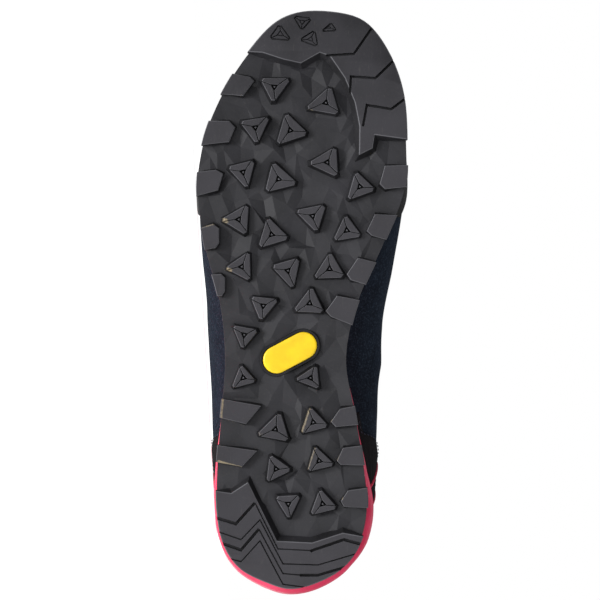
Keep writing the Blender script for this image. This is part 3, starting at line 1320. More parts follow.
def lug_outline(lug, grow):
    """A blunt three-cornered outline."""
    middle = np.array(on_sole((lug.along, lug.across)))
    corners = []
    for number, turn in enumerate(LUG_CORNERS):
        radius = lug.radius * MM * (lug.reach if number == 0 else 1) + 2 * grow
        angle = math.radians(lug.turn + turn)
        corners.append(middle + radius * np.array([math.sin(angle), math.cos(angle)]))
    outline = []
    for i in range(3):
        before, here, after = corners[i - 1], corners[i], corners[(i + 1) % 3]
        outline.append(tuple(here + (before - here) * LUG_BLUNT))
        outline.append(tuple(here + (after - here) * LUG_BLUNT))
    return outline


def lug_triangle(lug, radius):
    """A small triangle in the middle of a lug, its corners towards the lug's."""
    middle = np.array(on_sole((lug.along, lug.across)))
    turns = [math.radians(lug.turn + turn) for turn in LUG_CORNERS]
    return [tuple(middle + radius * np.array([math.sin(turn), math.cos(turn)])) for turn in turns]


def drafted(lug, depth):
    """A lug's outline at a depth below its tip, wider towards its foot."""
    return lug_outline(lug, SIPE_WIDTH / 2 + SIPE_BEVEL + LUG_FOOT * depth / (LUG_HEIGHT + FLOOR_BITE))


def add_lug(work, lug):
    """One lug: a core with a pit and a small pyramid in it, and three bevelled panels on its top."""
    pit = lug_triangle(lug, PIT_RADIUS)
    half_sipe = SIPE_WIDTH / 2
    for k in range(3):
        rings = []
        for depth, inset in ((0, half_sipe + SIPE_BEVEL), (SIPE_BEVEL, half_sipe), (SIPE_DEPTH, half_sipe)):
            hexagon = drafted(lug, depth)
            after = (k + 1) % 3
            panel = [hexagon[2 * k + 1], hexagon[2 * after], hexagon[2 * after + 1], pit[after], pit[k]]
            rings.append((offset_outline(panel, -inset), depth))
        loft(work, rings)
    top = level_ring(work, offset_outline(drafted(lug, SIPE_DEPTH), -half_sipe), SIPE_DEPTH)
    base = level_ring(work, lug_outline(lug, LUG_FOOT), LUG_HEIGHT + FLOOR_BITE)
    mouth = level_ring(work, pit, SIPE_DEPTH)
    bottom = level_ring(work, lug_triangle(lug, PIT_RADIUS * PIT_NARROWING), PIT_DEPTH)
    foot = level_ring(work, lug_triangle(lug, PYRAMID_RADIUS), PIT_DEPTH)
    tip = level_ring(work, lug_triangle(lug, PYRAMID_TOP), PIT_DEPTH - PYRAMID_HEIGHT)
    for low, high in ((top, base), (mouth, bottom), (bottom, foot), (foot, tip)):
        side_wall(work, low, high)
    for k in range(3):
        after = (k + 1) % 3
        work.faces.new((top[2 * k], top[2 * k + 1], mouth[k]))
        work.faces.new((top[2 * k + 1], top[2 * after], mouth[after], mouth[k]))
    work.faces.new(tip)
    work.faces.new(base)


def edge_run(start, end, inset, count):
    """Points along the outline between two places on the loop."""
    run = np.linspace(start, end, count)
    tip = TOE_SWELL * smoothstep(TOE_SWELL_FROM, 1, share_at(run))
    return [tuple(point) for point in inset_point(run, tread_inset(run) + inset - tip)]


def grown(outline, distance):
    """A flat outline moved outwards by a distance, seen from its middle."""
    middle = np.mean(outline, axis=0)
    result = []
    for point in outline:
        arm = np.array(point) - middle
        result.append(tuple(middle + arm * (1 + distance / np.linalg.norm(arm))))
    return result


def block_outline(block, draft):
    """An edge block's outline, its inner flanks moved out by the draft."""
    back = place_at(block.back, block.side)
    front = place_at(block.front, block.side)
    inner = grown([on_sole(pair) for pair in block.inner], draft)
    return edge_run(back, front, -EDGE_STEP, 6) + inner


def add_block(work, block):
    """An edge block with bevelled rims and sloping inner flanks."""
    top = block_outline(block, 0)
    base = block_outline(block, LUG_FOOT)
    loft(work, [(offset_outline(top, -BEVEL), 0), (top, BEVEL), (base, LUG_HEIGHT + EDGE_STEP_RISE)])


def oval(centre, length, width, turn, grow):
    """A flat bar with round ends."""
    radius = width / 2 + grow
    reach = (length - width) / 2
    along = np.array([math.cos(turn), math.sin(turn)])
    outline = []
    for end in (1, -1):
        start = turn + (0 if end > 0 else math.pi) - math.pi / 2
        for angle in np.linspace(start, start + math.pi, 15):
            arm = radius * np.array([math.cos(angle), math.sin(angle)])
            outline.append(tuple(np.array(centre) + along * reach * end + arm))
    return outline


def inset_oval(grow):
    """The inset's outline, wider by a distance."""
    return oval(on_sole(INSET_PLACE), INSET_LENGTH, INSET_WIDTH, INSET_TURN, grow)


def add_inset_rim(work):
    """The raised rim round the inset's pocket."""
    tip = LUG_HEIGHT - INSET_RIM_HEIGHT
    profile = (
        (GAP, LUG_HEIGHT),
        (GAP, tip + RIM_BEVEL),
        (GAP + RIM_CORNER, tip),
        (GAP + INSET_RIM - RIM_CORNER, tip),
        (GAP + INSET_RIM, tip + RIM_BEVEL),
        (GAP + INSET_RIM + RIM_FOOT, LUG_HEIGHT + FLOOR_BITE),
    )
    levels = [level_ring(work, inset_oval(grow), height) for grow, height in profile]
    for low, high in zip(levels, levels[1:] + levels[:1]):
        side_wall(work, low, high, 1)


def add_floor(work):
    """The low-poly floor between the lugs: a triangulated web with small random heights."""
    places = np.linspace(0, 2, RIM_POINTS, endpoint=False)
    rim = [tuple(point) for point in inset_point(places, tread_inset(places) + FLOOR_RIM_INSET)]
    boundary = inset_point(places, tread_inset(places) + FACET_MARGIN)
    points = list(rim)
    heights = [LUG_HEIGHT] * len(rim)
    for along in np.arange(FACET_LENGTH / 2, SOLE_LENGTH, FACET_LENGTH):
        for number, across in enumerate(np.arange(-BALL_WIDTH / 2, BALL_WIDTH / 2, FACET_WIDTH)):
            shift = (RANDOM.random(2) - 0.5) * np.array([FACET_LENGTH, FACET_WIDTH]) * FACET_JITTER
            point = np.array([along + (number % 2) * FACET_LENGTH / 2, across]) + shift
            if not inside(boundary, point):
                continue
            points.append(tuple(point))
            swing = RANDOM.random() * FACET_SWING - FACET_SWING / 2
            heights.append(LUG_HEIGHT + FACET_RELIEF * swing)
    made = delaunay_2d_cdt([Vector(point) for point in points], [], [list(range(len(rim)))], 1, 1e-6)
    verts = []
    for position, sources in zip(made[0], made[3]):
        verts.append(work.verts.new((*position, heights[sources[0]] if sources else LUG_HEIGHT)))
    for face in made[2]:
        work.faces.new([verts[i] for i in face])


def inside(boundary, point):
    """Whether a point lies in a closed outline."""
    following = np.roll(boundary, -1, axis=0)
    crosses = (boundary[:, 1] > point[1]) != (following[:, 1] > point[1])
    rise = np.where(following[:, 1] == boundary[:, 1], 1, following[:, 1] - boundary[:, 1])
    x = boundary[:, 0] + (point[1] - boundary[:, 1]) / rise * (following[:, 0] - boundary[:, 0])
    return bool(np.sum(crosses & (x > point[0])) % 2)


def bent(mesh):
    """Stores each point's depth in the tread and bends the flat mesh to the sole's run."""
    points = coordinates(mesh)
    store(mesh, "depth", points[:, 2])
    points[:, 2] += ground(points[:, 0] / SOLE_LENGTH)
    mesh.vertices.foreach_set("co", points.ravel())
    mesh.update()
    return mesh


def make_tread(finishes):
    """Lugs, edge blocks, inset rim and the faceted floor between them."""
    work = bmesh.new()
    for lug in LUGS:
        add_lug(work, lug)
    for block in BLOCKS:
        add_block(work, block)
    add_inset_rim(work)
    solid = from_bmesh("tread_forms", work)
    store(solid, "standing", np.ones(len(solid.vertices)))
    web = bmesh.new()
    add_floor(web)
    for face in web.faces:
        face.normal_update()
        if face.normal.z > 0:
            face.normal_flip()
    floor = bpy.data.meshes.new("tread_floor")
    web.to_mesh(floor)
    web.free()
    store(floor, "standing", np.zeros(len(floor.vertices)))
    mesh = joined("outsole_tread", [solid, floor])
    return piece("outsole_tread", bent(mesh), finishes, ["outsole"])


def groove_outline(line, width):
    """A band of even width along a bent line, with mitred corners."""
    points = [np.array(on_sole(pair)) for pair in line]
    left = []
    right = []
    for i, point in enumerate(points):
        runs = []
        if i + 1 < len(points):
            runs.append(points[i + 1] - point)
        if i:
            runs.append(point - points[i - 1])
        sides = [np.array([-run[1], run[0]]) / np.linalg.norm(run) for run in runs]
        side = sum(sides)
        side = side / np.linalg.norm(side)
        side = side * width / 2 / max(float(side @ sides[0]), 0.4)
        left.append(tuple(point + side))
        right.append(tuple(point - side))
    return left + right[::-1]


def add_groove(work, line, width, depth):
    """A groove cutter with sloping sides."""
    rings = [(groove_outline(line, width * level.width), level.depth) for level in GROOVE_SECTION]
    loft(work, rings + [(groove_outline(line, width * GROOVE_FLOOR), depth)])


def cut(mesh, cutter):
    """A mesh with a cutter mesh taken away."""
    target = linked("target", mesh)
    tool = linked("tool", cutter)
    modifier = target.modifiers.new("cut", "BOOLEAN")
    modifier.operation = "DIFFERENCE"
    modifier.solver = "EXACT"
    modifier.use_self = True
    modifier.object = tool
    result = evaluated_mesh(target)
    bpy.data.objects.remove(target)
    bpy.data.objects.remove(tool)
    return result


def zone_mesh(name, start, end, inner, grooves):
    """A smooth zone with rounded rims and its grooves."""
    edge = edge_run(start, end, -EDGE_STEP, 41)
    outline = edge + [on_sole(pair) for pair in inner]
    foot = edge + offset_outline(outline, ZONE_FOOT)[len(edge) :]
    rim = [(offset_outline(outline, level.width * BEVEL), level.depth * BEVEL) for level in ZONE_SECTION]
    work = bmesh.new()
    loft(work, rim + [(foot, LUG_HEIGHT), (foot, LUG_HEIGHT + EDGE_STEP_RISE)])
    body = from_bmesh(name, work)
    cutters = bmesh.new()
    for line, width, depth in grooves:
        add_groove(cutters, line, width, depth)
    mesh = cut(body, from_bmesh("grooves", cutters))
    work = bmesh.new()
    work.from_mesh(mesh)
    for share in np.linspace(0, 1, BEND_CUTS)[1:-1]:
        geometry = work.verts[:] + work.edges[:] + work.faces[:]
        bmesh.ops.bisect_plane(
            work, geom=geometry, plane_co=(share * SOLE_LENGTH, 0, 0), plane_no=(1, 0, 0), dist=1e-6
        )
    bmesh.ops.triangulate(work, faces=[face for face in work.faces if len(face.verts) > 4])
    result = bpy.data.meshes.new(name)
    work.to_mesh(result)
    work.free()
    return result


def engraving_grooves():
    """Thin lines of the engraved triangles: the sides, a small triangle inside and spokes between them."""
    lines = []
    for engraving in ENGRAVINGS:
        pit = np.array(engraving.pit)
        outer = [pit + (np.array(corner) - pit) * ENGRAVING_REACH for corner in engraving.corners]
        small = [pit + (corner - pit) * ENGRAVED_PIT for corner in outer]
        for k in range(3):
            after = (k + 1) % 3
            side = outer[after] - outer[k]
            turned = outer[after] - ENGRAVING_BLUNT * side
            next_side = outer[(k + 2) % 3] - outer[after]
            bend = (outer[k] + ENGRAVING_BLUNT * side, turned, outer[after] + ENGRAVING_BLUNT * next_side)
            lines.append((bend, ENGRAVING_WIDTH, ENGRAVING_DEPTH))
            lines.append(((small[k], small[after]), ENGRAVING_THIN, ENGRAVING_DEPTH))
            spoke = (small[k], pit + (outer[k] - pit) * ENGRAVED_SPOKE)
            lines.append((spoke, ENGRAVING_THIN, ENGRAVING_DEPTH))
    return lines


def plate_side():
    """The side of the rubber plate and the ledge on its top."""
    places = np.linspace(0, 2, AROUND + 1)
    edge = tread_inset(places)
    columns = [
        with_height(inset_point(places, edge + level.width), LUG_HEIGHT + level.depth)
        for level in PLATE_SIDE
    ]
    return grid_mesh("plate_side", np.stack(columns, 1))


def make_zones(finish):
    """Climbing zone at the toe and brake at the heel, with the plate's side."""
    toe_lines = [(line, TOE_GROOVE_WIDTH, TOE_GROOVE_DEPTH) for line in TOE_GROOVES] + engraving_grooves()
    toe = zone_mesh(
        "toe_zone", place_at(TOE_ZONE_LATERAL, -1), place_at(TOE_ZONE_MEDIAL, 1), TOE_ZONE_INNER, toe_lines
    )
    heel_lines = [(line, GROOVE_WIDTH, GROOVE_DEPTH) for line in THICK_CHEVRONS]
    heel_lines += [(line, THIN_GROOVE_WIDTH, THIN_GROOVE_DEPTH) for line in THIN_CHEVRONS]
    heel = zone_mesh(
        "heel_zone", place_at(BRAKE_MEDIAL, 1), 2 + place_at(BRAKE_LATERAL, -1), BRAKE_INNER, heel_lines
    )
    side = plate_side()
    for form, standing in ((toe, 1), (heel, 1), (side, 0)):
        store(form, "standing", np.full(len(form.vertices), standing))
    mesh = bent(joined("outsole_zones", [toe, heel, side]))
    smooth(mesh, 22)
    return piece("outsole_zones", mesh, [finish], ["outsole"])


def make_inset(finish):
    """The plain oval inset, softly domed."""
    face = LUG_HEIGHT - INSET_RIM_HEIGHT - INSET_PROUD
    dome = [(inset_oval(-level.width), face + level.depth) for level in INSET_DOME]
    work = bmesh.new()
    loft(work, dome + [(inset_oval(0), face + INSET_SHOULDER), (inset_oval(0), LUG_HEIGHT)])
    mesh = bent(from_bmesh("arch_inset", work))
    smooth(mesh, 50)
    return piece("inset_badge", mesh, [finish], ["arch_inset"])


def heel_swell(places):
    """How far the foam swells out at places on the loop."""
    share = share_at(places)
    stops = column(HEEL_SWELL, "at")
    outer = np.interp(share, stops, column(HEEL_SWELL, "outer"))
    inner = np.interp(share, stops, column(HEEL_SWELL, "inner"))
    return np.where(np.asarray(places) % 2 < 1, outer, inner) * MM


def make_midsole(finish):
    """Foam wedge with a soft bulge and two moulded lines round its side."""
    places = np.linspace(0, 2, AROUND + 1)
    share = share_at(places)

    def row(inset, level):
        """A row of points round the foam."""
        height = plate_top(share) + GAP + level * thickness(share)
        return with_height(inset_point(places, inset), height)

    rows = []
    for level in FOAM_ROWS:
        inset = midsole_inset(places) + between(FOAM_FLARE, level) * tread_inset(places)
        inset = inset + between(FOAM_LINES, level) * MM
        top = between(((MIDSOLE_BULGE_AT, 0), (1, 1)), level) ** 2
        inset = inset + top * MIDSOLE_TOP_INSET * (1 - inset_share(places, "midsole"))
        rows.append(row(inset - between(FOAM_SWELL, level) * heel_swell(places), level))
    ledge = midsole_inset(places) + FOAM_LEDGE
    mesh = grid_mesh("midsole", np.stack([row(ledge, 0), *rows, row(ledge, 1)], 1))
    return piece("midsole_foam", mesh, [finish], ["midsole"])


# The upper


def smoothstep(low, high, value):
    """0 up to low, 1 from high on, and an even slope between."""
    t = np.clip((value - low) / (high - low), 0, 1)
    return t * t * (3 - 2 * t)


def collar_weight(place):
    """1 round the ankle, fading out along the throat."""
    return 1 - smoothstep(*COLLAR_FADE, share_at(place))


def make_upper(finishes):
    """One hollow shell: creased suede outside, padded collar and lining inside."""
    places = np.linspace(0, 2, AROUND + 1)
    outer_up = np.linspace(0, ROLL_AT, OUTER_ROWS)
    outer = raised(places[:, None], outer_up[None, :], 0)
    lining_up = np.linspace(ROLL_AT, LINING_FOOT, LINING_ROWS)
    padded = smoothstep(PADDING_FROM, PADDING_TO, lining_up[None, :])
    pad = COLLAR_PADDING * collar_weight(places)[:, None] * padded
    normal_in = skin_normal(places[:, None], lining_up[None, :])
    inner = skin(places[:, None], lining_up[None, :]) - normal_in * (UPPER_WALL + pad)[..., None]
    first, last = outer[:, -1], inner[:, 0]
    middle = (first + last) / 2
    arm = first - middle
    rise = opening(places) - skin(places, ROLL_AT)
    rise = rise / np.linalg.norm(rise, axis=-1, keepdims=True)
    radius = np.linalg.norm(arm, axis=-1, keepdims=True)
    reach = np.minimum(radius, ROLL_REACH)
    angles = np.linspace(0, math.pi, RIM_ROWS + 2)[1:-1]
    rim = np.stack([middle + arm * math.cos(a) + rise * reach * math.sin(a) for a in angles], 1)
    mesh = grid_mesh("upper_shell", np.concatenate([outer, rim, inner], 1))
    rows = OUTER_ROWS + RIM_ROWS + LINING_ROWS - 1
    number = np.zeros(rows, np.int32)
    number[OUTER_ROWS - 1 : OUTER_ROWS + RIM_ROWS] = 1
    number[OUTER_ROWS + RIM_ROWS :] = 2
    mesh.polygons.foreach_set("material_index", np.tile(number, AROUND))
    return piece("upper_shell", mesh, finishes, ["upper"])


def rim_profile(count):
    """Heights across a layer, as shares: rounded at both rims and full between."""
    return np.concatenate([RIM_HEIGHTS, np.ones(count), RIM_HEIGHTS[::-1]])


def rounded(count, start, end, rim):
    """Places from start to end for a layer with rims of a width, and the height profile there."""
    metres = np.linalg.norm(edge_point(start + UP_STEP) - edge_point(start)) / UP_STEP
    rim = rim / metres
    inner = np.linspace(start + rim, end - rim, count)
    first = [start + step * rim for step in RIM_STEPS]
    last = [end - step * rim for step in RIM_STEPS[::-1]]
    return np.concatenate([first, inner, last]), rim_profile(count)


def even_edge(height):
    """An edge at the same share of the way up, all along."""
    return lambda places: np.full(places.shape, height)


def band(name, start, end, low, high, thick, rows, count, lift=GAP, rim=THIN_RIM, relief=None):
    """A layer on the upper between two places and two edges, with rounded rims that dip into the skin."""
    places, end_profile = rounded(count, start, end, rim)
    low, high = low(places), high(places)
    length = np.linalg.norm(skin(places, high) - skin(places, low), axis=-1)
    share = np.clip(rim / np.maximum(length, 1e-4), 0, 0.3)[:, None]
    inner = np.linspace(0, 1, rows)[None, :] * (1 - 2 * share) + share
    first = share * np.array(RIM_STEPS)
    ups = np.concatenate([first, inner, 1 - first[:, ::-1]], 1)
    up = low[:, None] + (high - low)[:, None] * ups
    profile = np.minimum(end_profile[:, None], rim_profile(rows)[None, :])
    height = (lift + thick + RIM_DIP) * profile - RIM_DIP
    if relief is not None:
        height = height + relief(places[:, None], up) * profile
    return grid_mesh(name, raised(places[:, None], up, height))


def level_up(table):
    """An edge on the upper from a side view line of length and height shares."""
    return lambda places: up_at(places, between(table, share_at(places)) * HEEL_HEIGHT)


def make_rand(finish):
    """Rubber band round toe and ball: straight at its foot, then up over the suede, with low ridges."""
    places, ends = rounded(RIM_POINTS, place_at(RAND_END, -1), place_at(RAND_END, 1), THIN_RIM)
    share = share_at(places)
    flat = inset_point(places, feather_inset(places))
    low = plate_top(share) + GAP
    high = feather(places)[:, 2]
    top = level_up(RAND_RISE)(places)
    full = GAP + RAND_WALL + RIM_DIP
    columns = []
    for t in np.linspace(0, 1, 6)[:-1]:
        base = with_height(flat, low + (high - low) * t)
        columns.append(base + outward_3d(places) * (full * ends - RIM_DIP)[:, None])
    for t, rim in [(t, 1) for t in np.linspace(0, 0.97, 22)] + list(RAND_TOP):
        ridge = sum(one.height * np.exp(-(((t - one.at) / one.width) ** 2)) for one in RIDGES)
        profile = np.minimum(ends, rim)
        height = full * profile - RIM_DIP + ridge * profile * smoothstep(RIDGES_FROM, RIDGES_TO, share)
        columns.append(raised(places, top * t, height))
    under = with_height(inset_point(places, feather_inset(places) + THIN_RIM), low)
    points = np.stack([under] + columns, 1)
    return piece("rand_band", grid_mesh("rand_band", points), [finish], ["rand"])


def ribs(places, up):
    """Fine ribs of the heel panel, running round the heel."""
    height = skin(places, up)[..., 2]
    wave = np.sin(2 * math.pi * height / RIB_PITCH)
    return RIB_HEIGHT * np.clip(wave, RIB_TROUGH, 1)


def make_counter(finish):
    """Ribbed heel panel."""
    front = place_at(COUNTER_SIDE[0][0], -1)

    def top(places):
        """The panel's upper edge."""
        return np.maximum(level_up(COUNTER_SIDE[::-1])(places), OVERLAY_FOOT + 0.02)

    mesh = band(
        "heel_panel", -front, front, even_edge(OVERLAY_FOOT * 0.5), top, COUNTER_WALL, 150, 120,
        rim=PANEL_RIM, relief=ribs,
    )
    return piece("heel_panel", mesh, [finish], ["heel_counter"])


def surface_line(low, high, lift, count=40):
    """A line on the upper between two (place, up) pairs: points and normals."""
    places, ups = (np.linspace(a, b, count) for a, b in zip(low, high))
    return raised(places, ups, lift), skin_normal(places, ups)


def make_heel_lines(finish):
    """Raspberry lines that run from the midsole forwards and up over the heel panel."""
    lift = GAP + COUNTER_WALL + THREAD_LIFT
    paths = path_mesh("heel_lines", [surface_line(low, high, lift) for low, high in HEEL_LINES])
    mesh = run_tree(cord_tree(finish), paths, {"Radius": HEEL_LINE_RADIUS, "Sides": 8})
    return piece("heel_lines", mesh, [])


def make_collar(finish):
    """Soft padded cloth round the collar's outside."""
    end = place_at(COLLAR_END, -1)

    def low(places):
        """The cloth's lower edge."""
        return COLLAR_LOW - COLLAR_DROP * smoothstep(0.05, 0.3, share_at(places))

    def bulge(places, up):
        """How far the padding stands out, the same all round."""
        return COLLAR_BULGE * np.sin(np.pi * smoothstep(COLLAR_LOW, 1.0, up))

    mesh = band("collar_band", -end, end, low, even_edge(ROLL_AT), COLLAR_WALL, 20, 130, relief=bulge)
    return piece("collar_band", mesh, [finish])


def eyestay_low(places):
    """The lower edge of the lacing bands, narrowing to both ends."""
    step = 1 - np.abs(1 - places % 2)
    t = (step - EYESTAY_FROM) / (EYESTAY_TO - EYESTAY_FROM)
    width = np.minimum(smoothstep(0, EYESTAY_TAPER, t), 1 - smoothstep(1 - EYESTAY_TAPER, 1, t))
    return 1 - EYESTAY_WIDTH * (EYESTAY_TIP + (1 - EYESTAY_TIP) * width)


def make_eyestays(finish):
    """Lacing bands along both sides of the throat."""
    for name, side in (("eyestay_lateral", -1), ("eyestay_medial", 1)):
        ends = (EYESTAY_FROM, EYESTAY_TO) if side < 0 else (2 - EYESTAY_TO, 2 - EYESTAY_FROM)
        mesh = band(name, *ends, eyestay_low, even_edge(EYESTAY_TOP), EYESTAY_WALL, 10, 90, lift=2 * GAP)
        piece(f"{name}_band", mesh, [finish], [name])


def make_stitching(finish):
    """Stitch rows along the lacing bands and the heel panel's edge."""
    steps = np.linspace(EYESTAY_FROM + SEAM_END, EYESTAY_TO - SEAM_END, 160)
    rows = []
    for places in (steps, 2 - steps):
        for up in (eyestay_low(places) + SEAM_LOW, even_edge(EYESTAY_TOP)(places) - SEAM_HIGH):
            rows.append((places, up, EYESTAY_FACE + THREAD_LIFT))
    front = place_at(COUNTER_SIDE[0][0], -1) - PANEL_SEAM_END
    places = np.linspace(-front, front, 260)
    up = np.maximum(level_up(COUNTER_SIDE[::-1])(places) - PANEL_SEAM, OVERLAY_FOOT)
    rows.append((places, up, GAP + COUNTER_WALL + EDGE_THREAD_LIFT))
    paths = [(raised(places, up, lift), skin_normal(places, up)) for places, up, lift in rows]
    sizes = {"Pitch": STITCH_PITCH, "Length": STITCH_LENGTH, "Width": STITCH_WIDTH, "Seed": 5}
    mesh = run_tree(stitch_tree(finish), path_mesh("stitching", paths), sizes)
    return piece("stitching", mesh, [])


def make_insole(finish):
    """The footbed, softly hollowed from its rounded edge to its middle."""
    places = np.linspace(0, 2, AROUND + 1)
    share = share_at(places)
    rows = []
    middle = np.stack([share * SOLE_LENGTH, 0 * share], -1)
    for inset, high in FOOTBED:
        flat = inset_point(places, feather_inset(places) + UPPER_WALL + INSOLE_CLEARANCE)
        toward = middle - flat
        far = np.linalg.norm(toward, axis=-1, keepdims=True)
        flat = flat + toward * np.minimum(inset * MM / np.maximum(far, 1e-4), 1)
        rows.append(with_height(flat, midsole_top(share) + GAP + INSOLE_WALL * high))
    mesh = grid_mesh("footbed", np.stack(rows, 1))
    return piece("footbed", mesh, [finish], ["insole"])


def make_tongue(finishes):
    """Padded tongue with quilted channels, from the tip down to its nose under the vamp."""
    knots = column(TONGUE, "at")
    at = np.linspace(knots[0], knots[-1], 60)
    wing = np.interp(at, knots, column(TONGUE, "wing"))
    thick = np.interp(at, knots, column(TONGUE, "thickness")) * TONGUE_WALL
    crown = np.interp(at, knots, column(TONGUE, "crown")) * TONGUE_CROWN
    depth = -(UPPER_WALL + TONGUE_CLEARANCE)
    sides = []
    for place in (at, 2 - at):
        sides.append([raised(place, wing, depth), raised(place, np.ones_like(at), depth)])
    middle = (sides[0][1] + sides[1][1]) / 2
    middle[:, 2] += crown
    five = np.stack([*sides[0], middle, *sides[1][::-1]], 1)
    top = five[0]
    centre = top[2]
    tips = []
    for reach in np.linspace(1, 0, 22)[:-1]:
        shift = np.array([-TONGUE_REACH, 0, TONGUE_RISE]) * reach
        tips.append((top - centre) * np.array([1, between(TONGUE_TIP, reach), 1]) + centre + shift)
    forward, down = TONGUE_NOSE
    nose = [five[-1] + np.array([forward, 0, down]) * t for t in np.linspace(0.2, 1, 5)]
    five = np.concatenate([np.array(tips), five, np.array(nose)])
    thick = np.concatenate([np.full(len(tips), thick[0]), thick, np.full(len(nose), thick[-1])])
    knots = np.array(TONGUE_LINES)
    fine = np.linspace(0, 1, TONGUE_COLUMNS)
    sheet = np.stack([spline_through(knots, line, fine) for line in five])
    run = np.gradient(sheet, axis=0)
    side = np.gradient(sheet, axis=1)
    normal = np.cross(side, run)
    normal /= np.linalg.norm(normal, axis=-1, keepdims=True)
    normal *= np.sign(normal[..., 2:3].mean())
    edge = np.sqrt(np.clip(1 - (2 * fine - 1) ** 6, 0, 1))
    ends = np.sqrt(np.clip(np.sin(np.linspace(0.03, math.pi - 0.03, len(sheet))) * 6, 0, 1))
    dips = sum(np.exp(-(((fine - line) / CHANNEL_WIDTH) ** 2)) for line in CHANNELS)
    channel = 1 - CHANNEL_DEPTH * dips
    body = thick[:, None] * edge[None, :] * ends[:, None]
    upper_face = sheet - normal * (body * 0.5 * (1 - channel[None, :]))[..., None]
    lower_face = sheet - normal * body[..., None]
    points = np.concatenate([upper_face, lower_face[:, ::-1], upper_face[:, :1]], 1)
    mesh = grid_mesh("tongue_pad", points, turned=True)
    rows = points.shape[1] - 1
    number = np.zeros(rows, np.int32)
    number[TONGUE_COLUMNS:-1] = 1
    mesh.polygons.foreach_set("material_index", np.tile(number, len(points) - 1))
    made = piece("tongue_pad", mesh, finishes, ["tongue"])
    return made


def spline_through(knots, values, fine):
    """A smooth curve through rows of points."""
    slopes = np.gradient(values, knots, axis=0)
    return np.stack([hermite(knots, line, slope, fine) for line, slope in zip(values.T, slopes.T)], -1)


# Eyelets and lace


def eyelet_place(row, side):
    """An eyelet's place on the loop, counted from the front."""
    step = EYELETS_TO + (EYELETS_FROM - EYELETS_TO) * row / (EYELET_ROWS - 1)
    return step if side < 0 else 2 - step


def eyelet_frame(row, side, lift):
    """Centre, normal and direction towards the toe of an eyelet."""
    place = np.array(eyelet_place(row, side))
    up = np.array(EYELET_HEIGHT)
    centre = raised(place, up, lift)
    normal = skin_normal(place, up)
    ahead = raised(place + 0.01 * (1 if side < 0 else -1), up, lift) - centre
    ahead = ahead - normal * (ahead @ normal)
    return centre, normal, ahead / np.linalg.norm(ahead)


def make_eyelets(finish, dark):
    """Rolled metal rings with a dark bore."""
    rings = (ring_tree(finish), EYESTAY_FACE, {"Radius": RING_RADIUS, "Thickness": RING_THICKNESS})
    bores = (disc_tree(dark), EYESTAY_FACE + BORE_LIFT, {"Radius": BORE_RADIUS})
    for name, side in (("lateral", -1), ("medial", 1)):
        parts = []
        for tree, lift, sizes in (rings, bores):
            centres, normals, aheads = zip(*(eyelet_frame(row, side, lift) for row in range(EYELET_ROWS)))
            points = bpy.data.meshes.new(f"eyelets_{name}")
            points.from_pydata(centres, [], [])
            store(points, "up", np.array(normals))
            store(points, "ahead", np.array(aheads))
            parts.append(run_tree(tree, points, sizes))
        nodes = [f"eyelet_{name}_{row + 1}" for row in range(EYELET_ROWS)]
        piece(f"eyelets_{name}", joined(f"eyelets_{name}", parts), [], nodes)


def lace_end(row, other, side, shift):
    """Route points of a lace on one side: down in its eyelet, out of it, and over the throat's edge."""
    centre, normal, ahead = eyelet_frame(row, side, EYESTAY_FACE)
    here = eyelet_place(row, side)
    there = eyelet_place(other, side)
    lift = EYESTAY_FACE + GAP + LACE_RADIUS
    edge_place = here + (there - here) * LACE_DRIFT
    bend = raised(np.array((here + edge_place) / 2), np.array(LACE_BEND_UP), lift)
    over_edge = raised(np.array(edge_place), np.array(1.0), lift)
    beside = centre + ahead * shift
    return [beside - normal * LACE_SUNK, beside + normal * LACE_RADIUS * LACE_BOW, bend, over_edge]


def smooth_route(points, fine):
    """A rounded route through a few points."""
    points = np.array(points)
    run = np.concatenate([[0], np.cumsum(np.linalg.norm(np.diff(points, axis=0), axis=-1))])
    return spline_through(run, points, np.linspace(0, run[-1], fine))


def make_laces(finish):
    """The lace from eyelet to eyelet: a bar at the front, then crossings, one strand over the other."""
    tree = cord_tree(finish)
    for row in range(EYELET_ROWS):
        routes = []
        before = max(row - 1, 0)
        pairs = [(before, row, LACE_OVER), (row, before, LACE_UNDER)] if row else [(row, row, 0)]
        for lateral, medial, arch in pairs:
            front = 0 if row else -1
            shift = -LACE_BESIDE if row else 0
            outer = lace_end(lateral, medial + front, -1, shift if lateral < medial else -shift)
            inner = lace_end(medial, lateral + front, 1, shift if medial < lateral else -shift)
            middle = (outer[-1] + inner[-1]) / 2 + np.array([0, 0, LACE_ARCH + arch])
            route = smooth_route(outer + [middle] + inner[::-1], 90)
            routes.append((route, np.zeros_like(route)))
        mesh = run_tree(tree, path_mesh(f"lace_run_{row}", routes), {"Radius": LACE_RADIUS, "Sides": 14})
        node_name = f"lace_crossing_{row}" if row else "lace_bar"
        piece(f"lace_run_{row}", mesh, [], [node_name])


# Light, floor and camera


def area_light(light):
    """A soft round light aimed at the shoe."""
    data = bpy.data.lights.new(light.name, "AREA")
    data.shape = "DISK"
    data.size = light.size
    data.energy = light.power
    made = linked(light.name, data)
    made.location = light.place
    made.rotation_euler = (Vector(LIGHT_AIM) - Vector(light.place)).to_track_quat("-Z", "Y").to_euler()
    made.visible_glossy = light.glossy
    return made


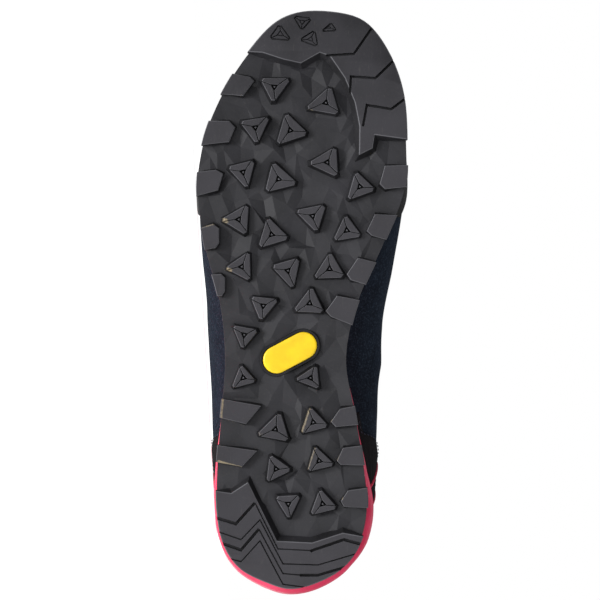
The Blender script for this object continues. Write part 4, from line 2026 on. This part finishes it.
def make_stage():
    """A pale floor that glows a little, as a light table does, white surroundings and the soft lights."""
    world = bpy.context.scene.world or bpy.data.worlds.new("World")
    bpy.context.scene.world = world
    world.use_nodes = True
    tree = world.node_tree
    background = tree.nodes["Background"]
    seen = node(tree, "ShaderNodeLightPath", {}).outputs["Is Camera Ray"]
    strength = node(tree, RANGE, {"Value": seen, "To Min": SKY_LIGHT, "To Max": 1.0})
    fill(tree, background, {"Color": (1, 1, 1, 1), "Strength": strength})
    work = bmesh.new()
    bmesh.ops.create_grid(work, x_segments=1, y_segments=1, size=FLOOR_SIZE)
    floor = linked("floor", from_bmesh("floor", work))
    made, tree, shader = new_material("studio_floor", Roughness=0.9, Specular_IOR_Level=0.1)[:3]
    pale = {"Base Color": colour("EFEFEF"), "Emission Color": (1, 1, 1, 1), "Emission Strength": FLOOR_GLOW}
    fill(tree, shader, pale)
    floor.data.materials.append(made)
    lights = {light.name: area_light(light) for light in LIGHTS}
    blockers = bpy.data.collections.new("shoe_only")
    for made in bpy.context.scene.objects:
        if made.type == "MESH" and made is not floor:
            blockers.objects.link(made)
    lights["key"].light_linking.blocker_collection = blockers
    view = bpy.context.scene.view_settings
    view.view_transform = "Standard"
    view.look = "None"
    view.exposure = 0.0


def make_camera():
    """Square on to the sole, toe up in the picture, from the distance of the photo's perspective."""
    aim = Vector((PICTURE_CENTRE * SOLE_LENGTH, 0, 0))
    data = bpy.data.cameras.new("camera")
    data.lens = data.sensor_width * CAMERA_DISTANCE / PICTURE_WIDTH
    data.clip_start = 0.01
    camera = linked("camera", data)
    turn = STAND.to_3x3()
    look = turn @ Vector((0, 0, 1))
    up = turn @ Vector((1, 0, 0))
    right = look.cross(up)
    axes = Matrix((right, up, -look)).transposed().to_4x4()
    camera.matrix_world = Matrix.Translation(STAND @ (aim - Vector((0, 0, CAMERA_DISTANCE)))) @ axes
    bpy.context.scene.camera = camera


def main():
    """All pieces of the shoe, then light and camera."""
    rubber = carbon_rubber()
    lining = woven("polyester_lining_knitted")
    make_tread([rubber, plain("rubber_black_matt")])
    make_zones(rubber)
    make_inset(plain("rubber_yellow_moulded"))
    make_midsole(moulded_foam())
    make_upper([suede(), plain("polyester_tape_woven"), lining])
    make_rand(plain("rubber_black_moulded"))
    make_counter(woven("polyester_mesh_woven"))
    make_heel_lines(plain("raspberry_ink_printed"))
    make_collar(woven("polyester_collar_knitted"))
    make_eyestays(plain("synthetic_leather_embossed"))
    make_stitching(plain("polyester_thread_twisted"))
    make_insole(woven("polyester_footbed_knitted"))
    make_tongue([woven("polyester_tongue_knitted"), lining])
    make_eyelets(plain("steel_painted_black"), plain("bore_in_shade"))
    make_laces(braid())
    make_stage()
    make_camera()


main()
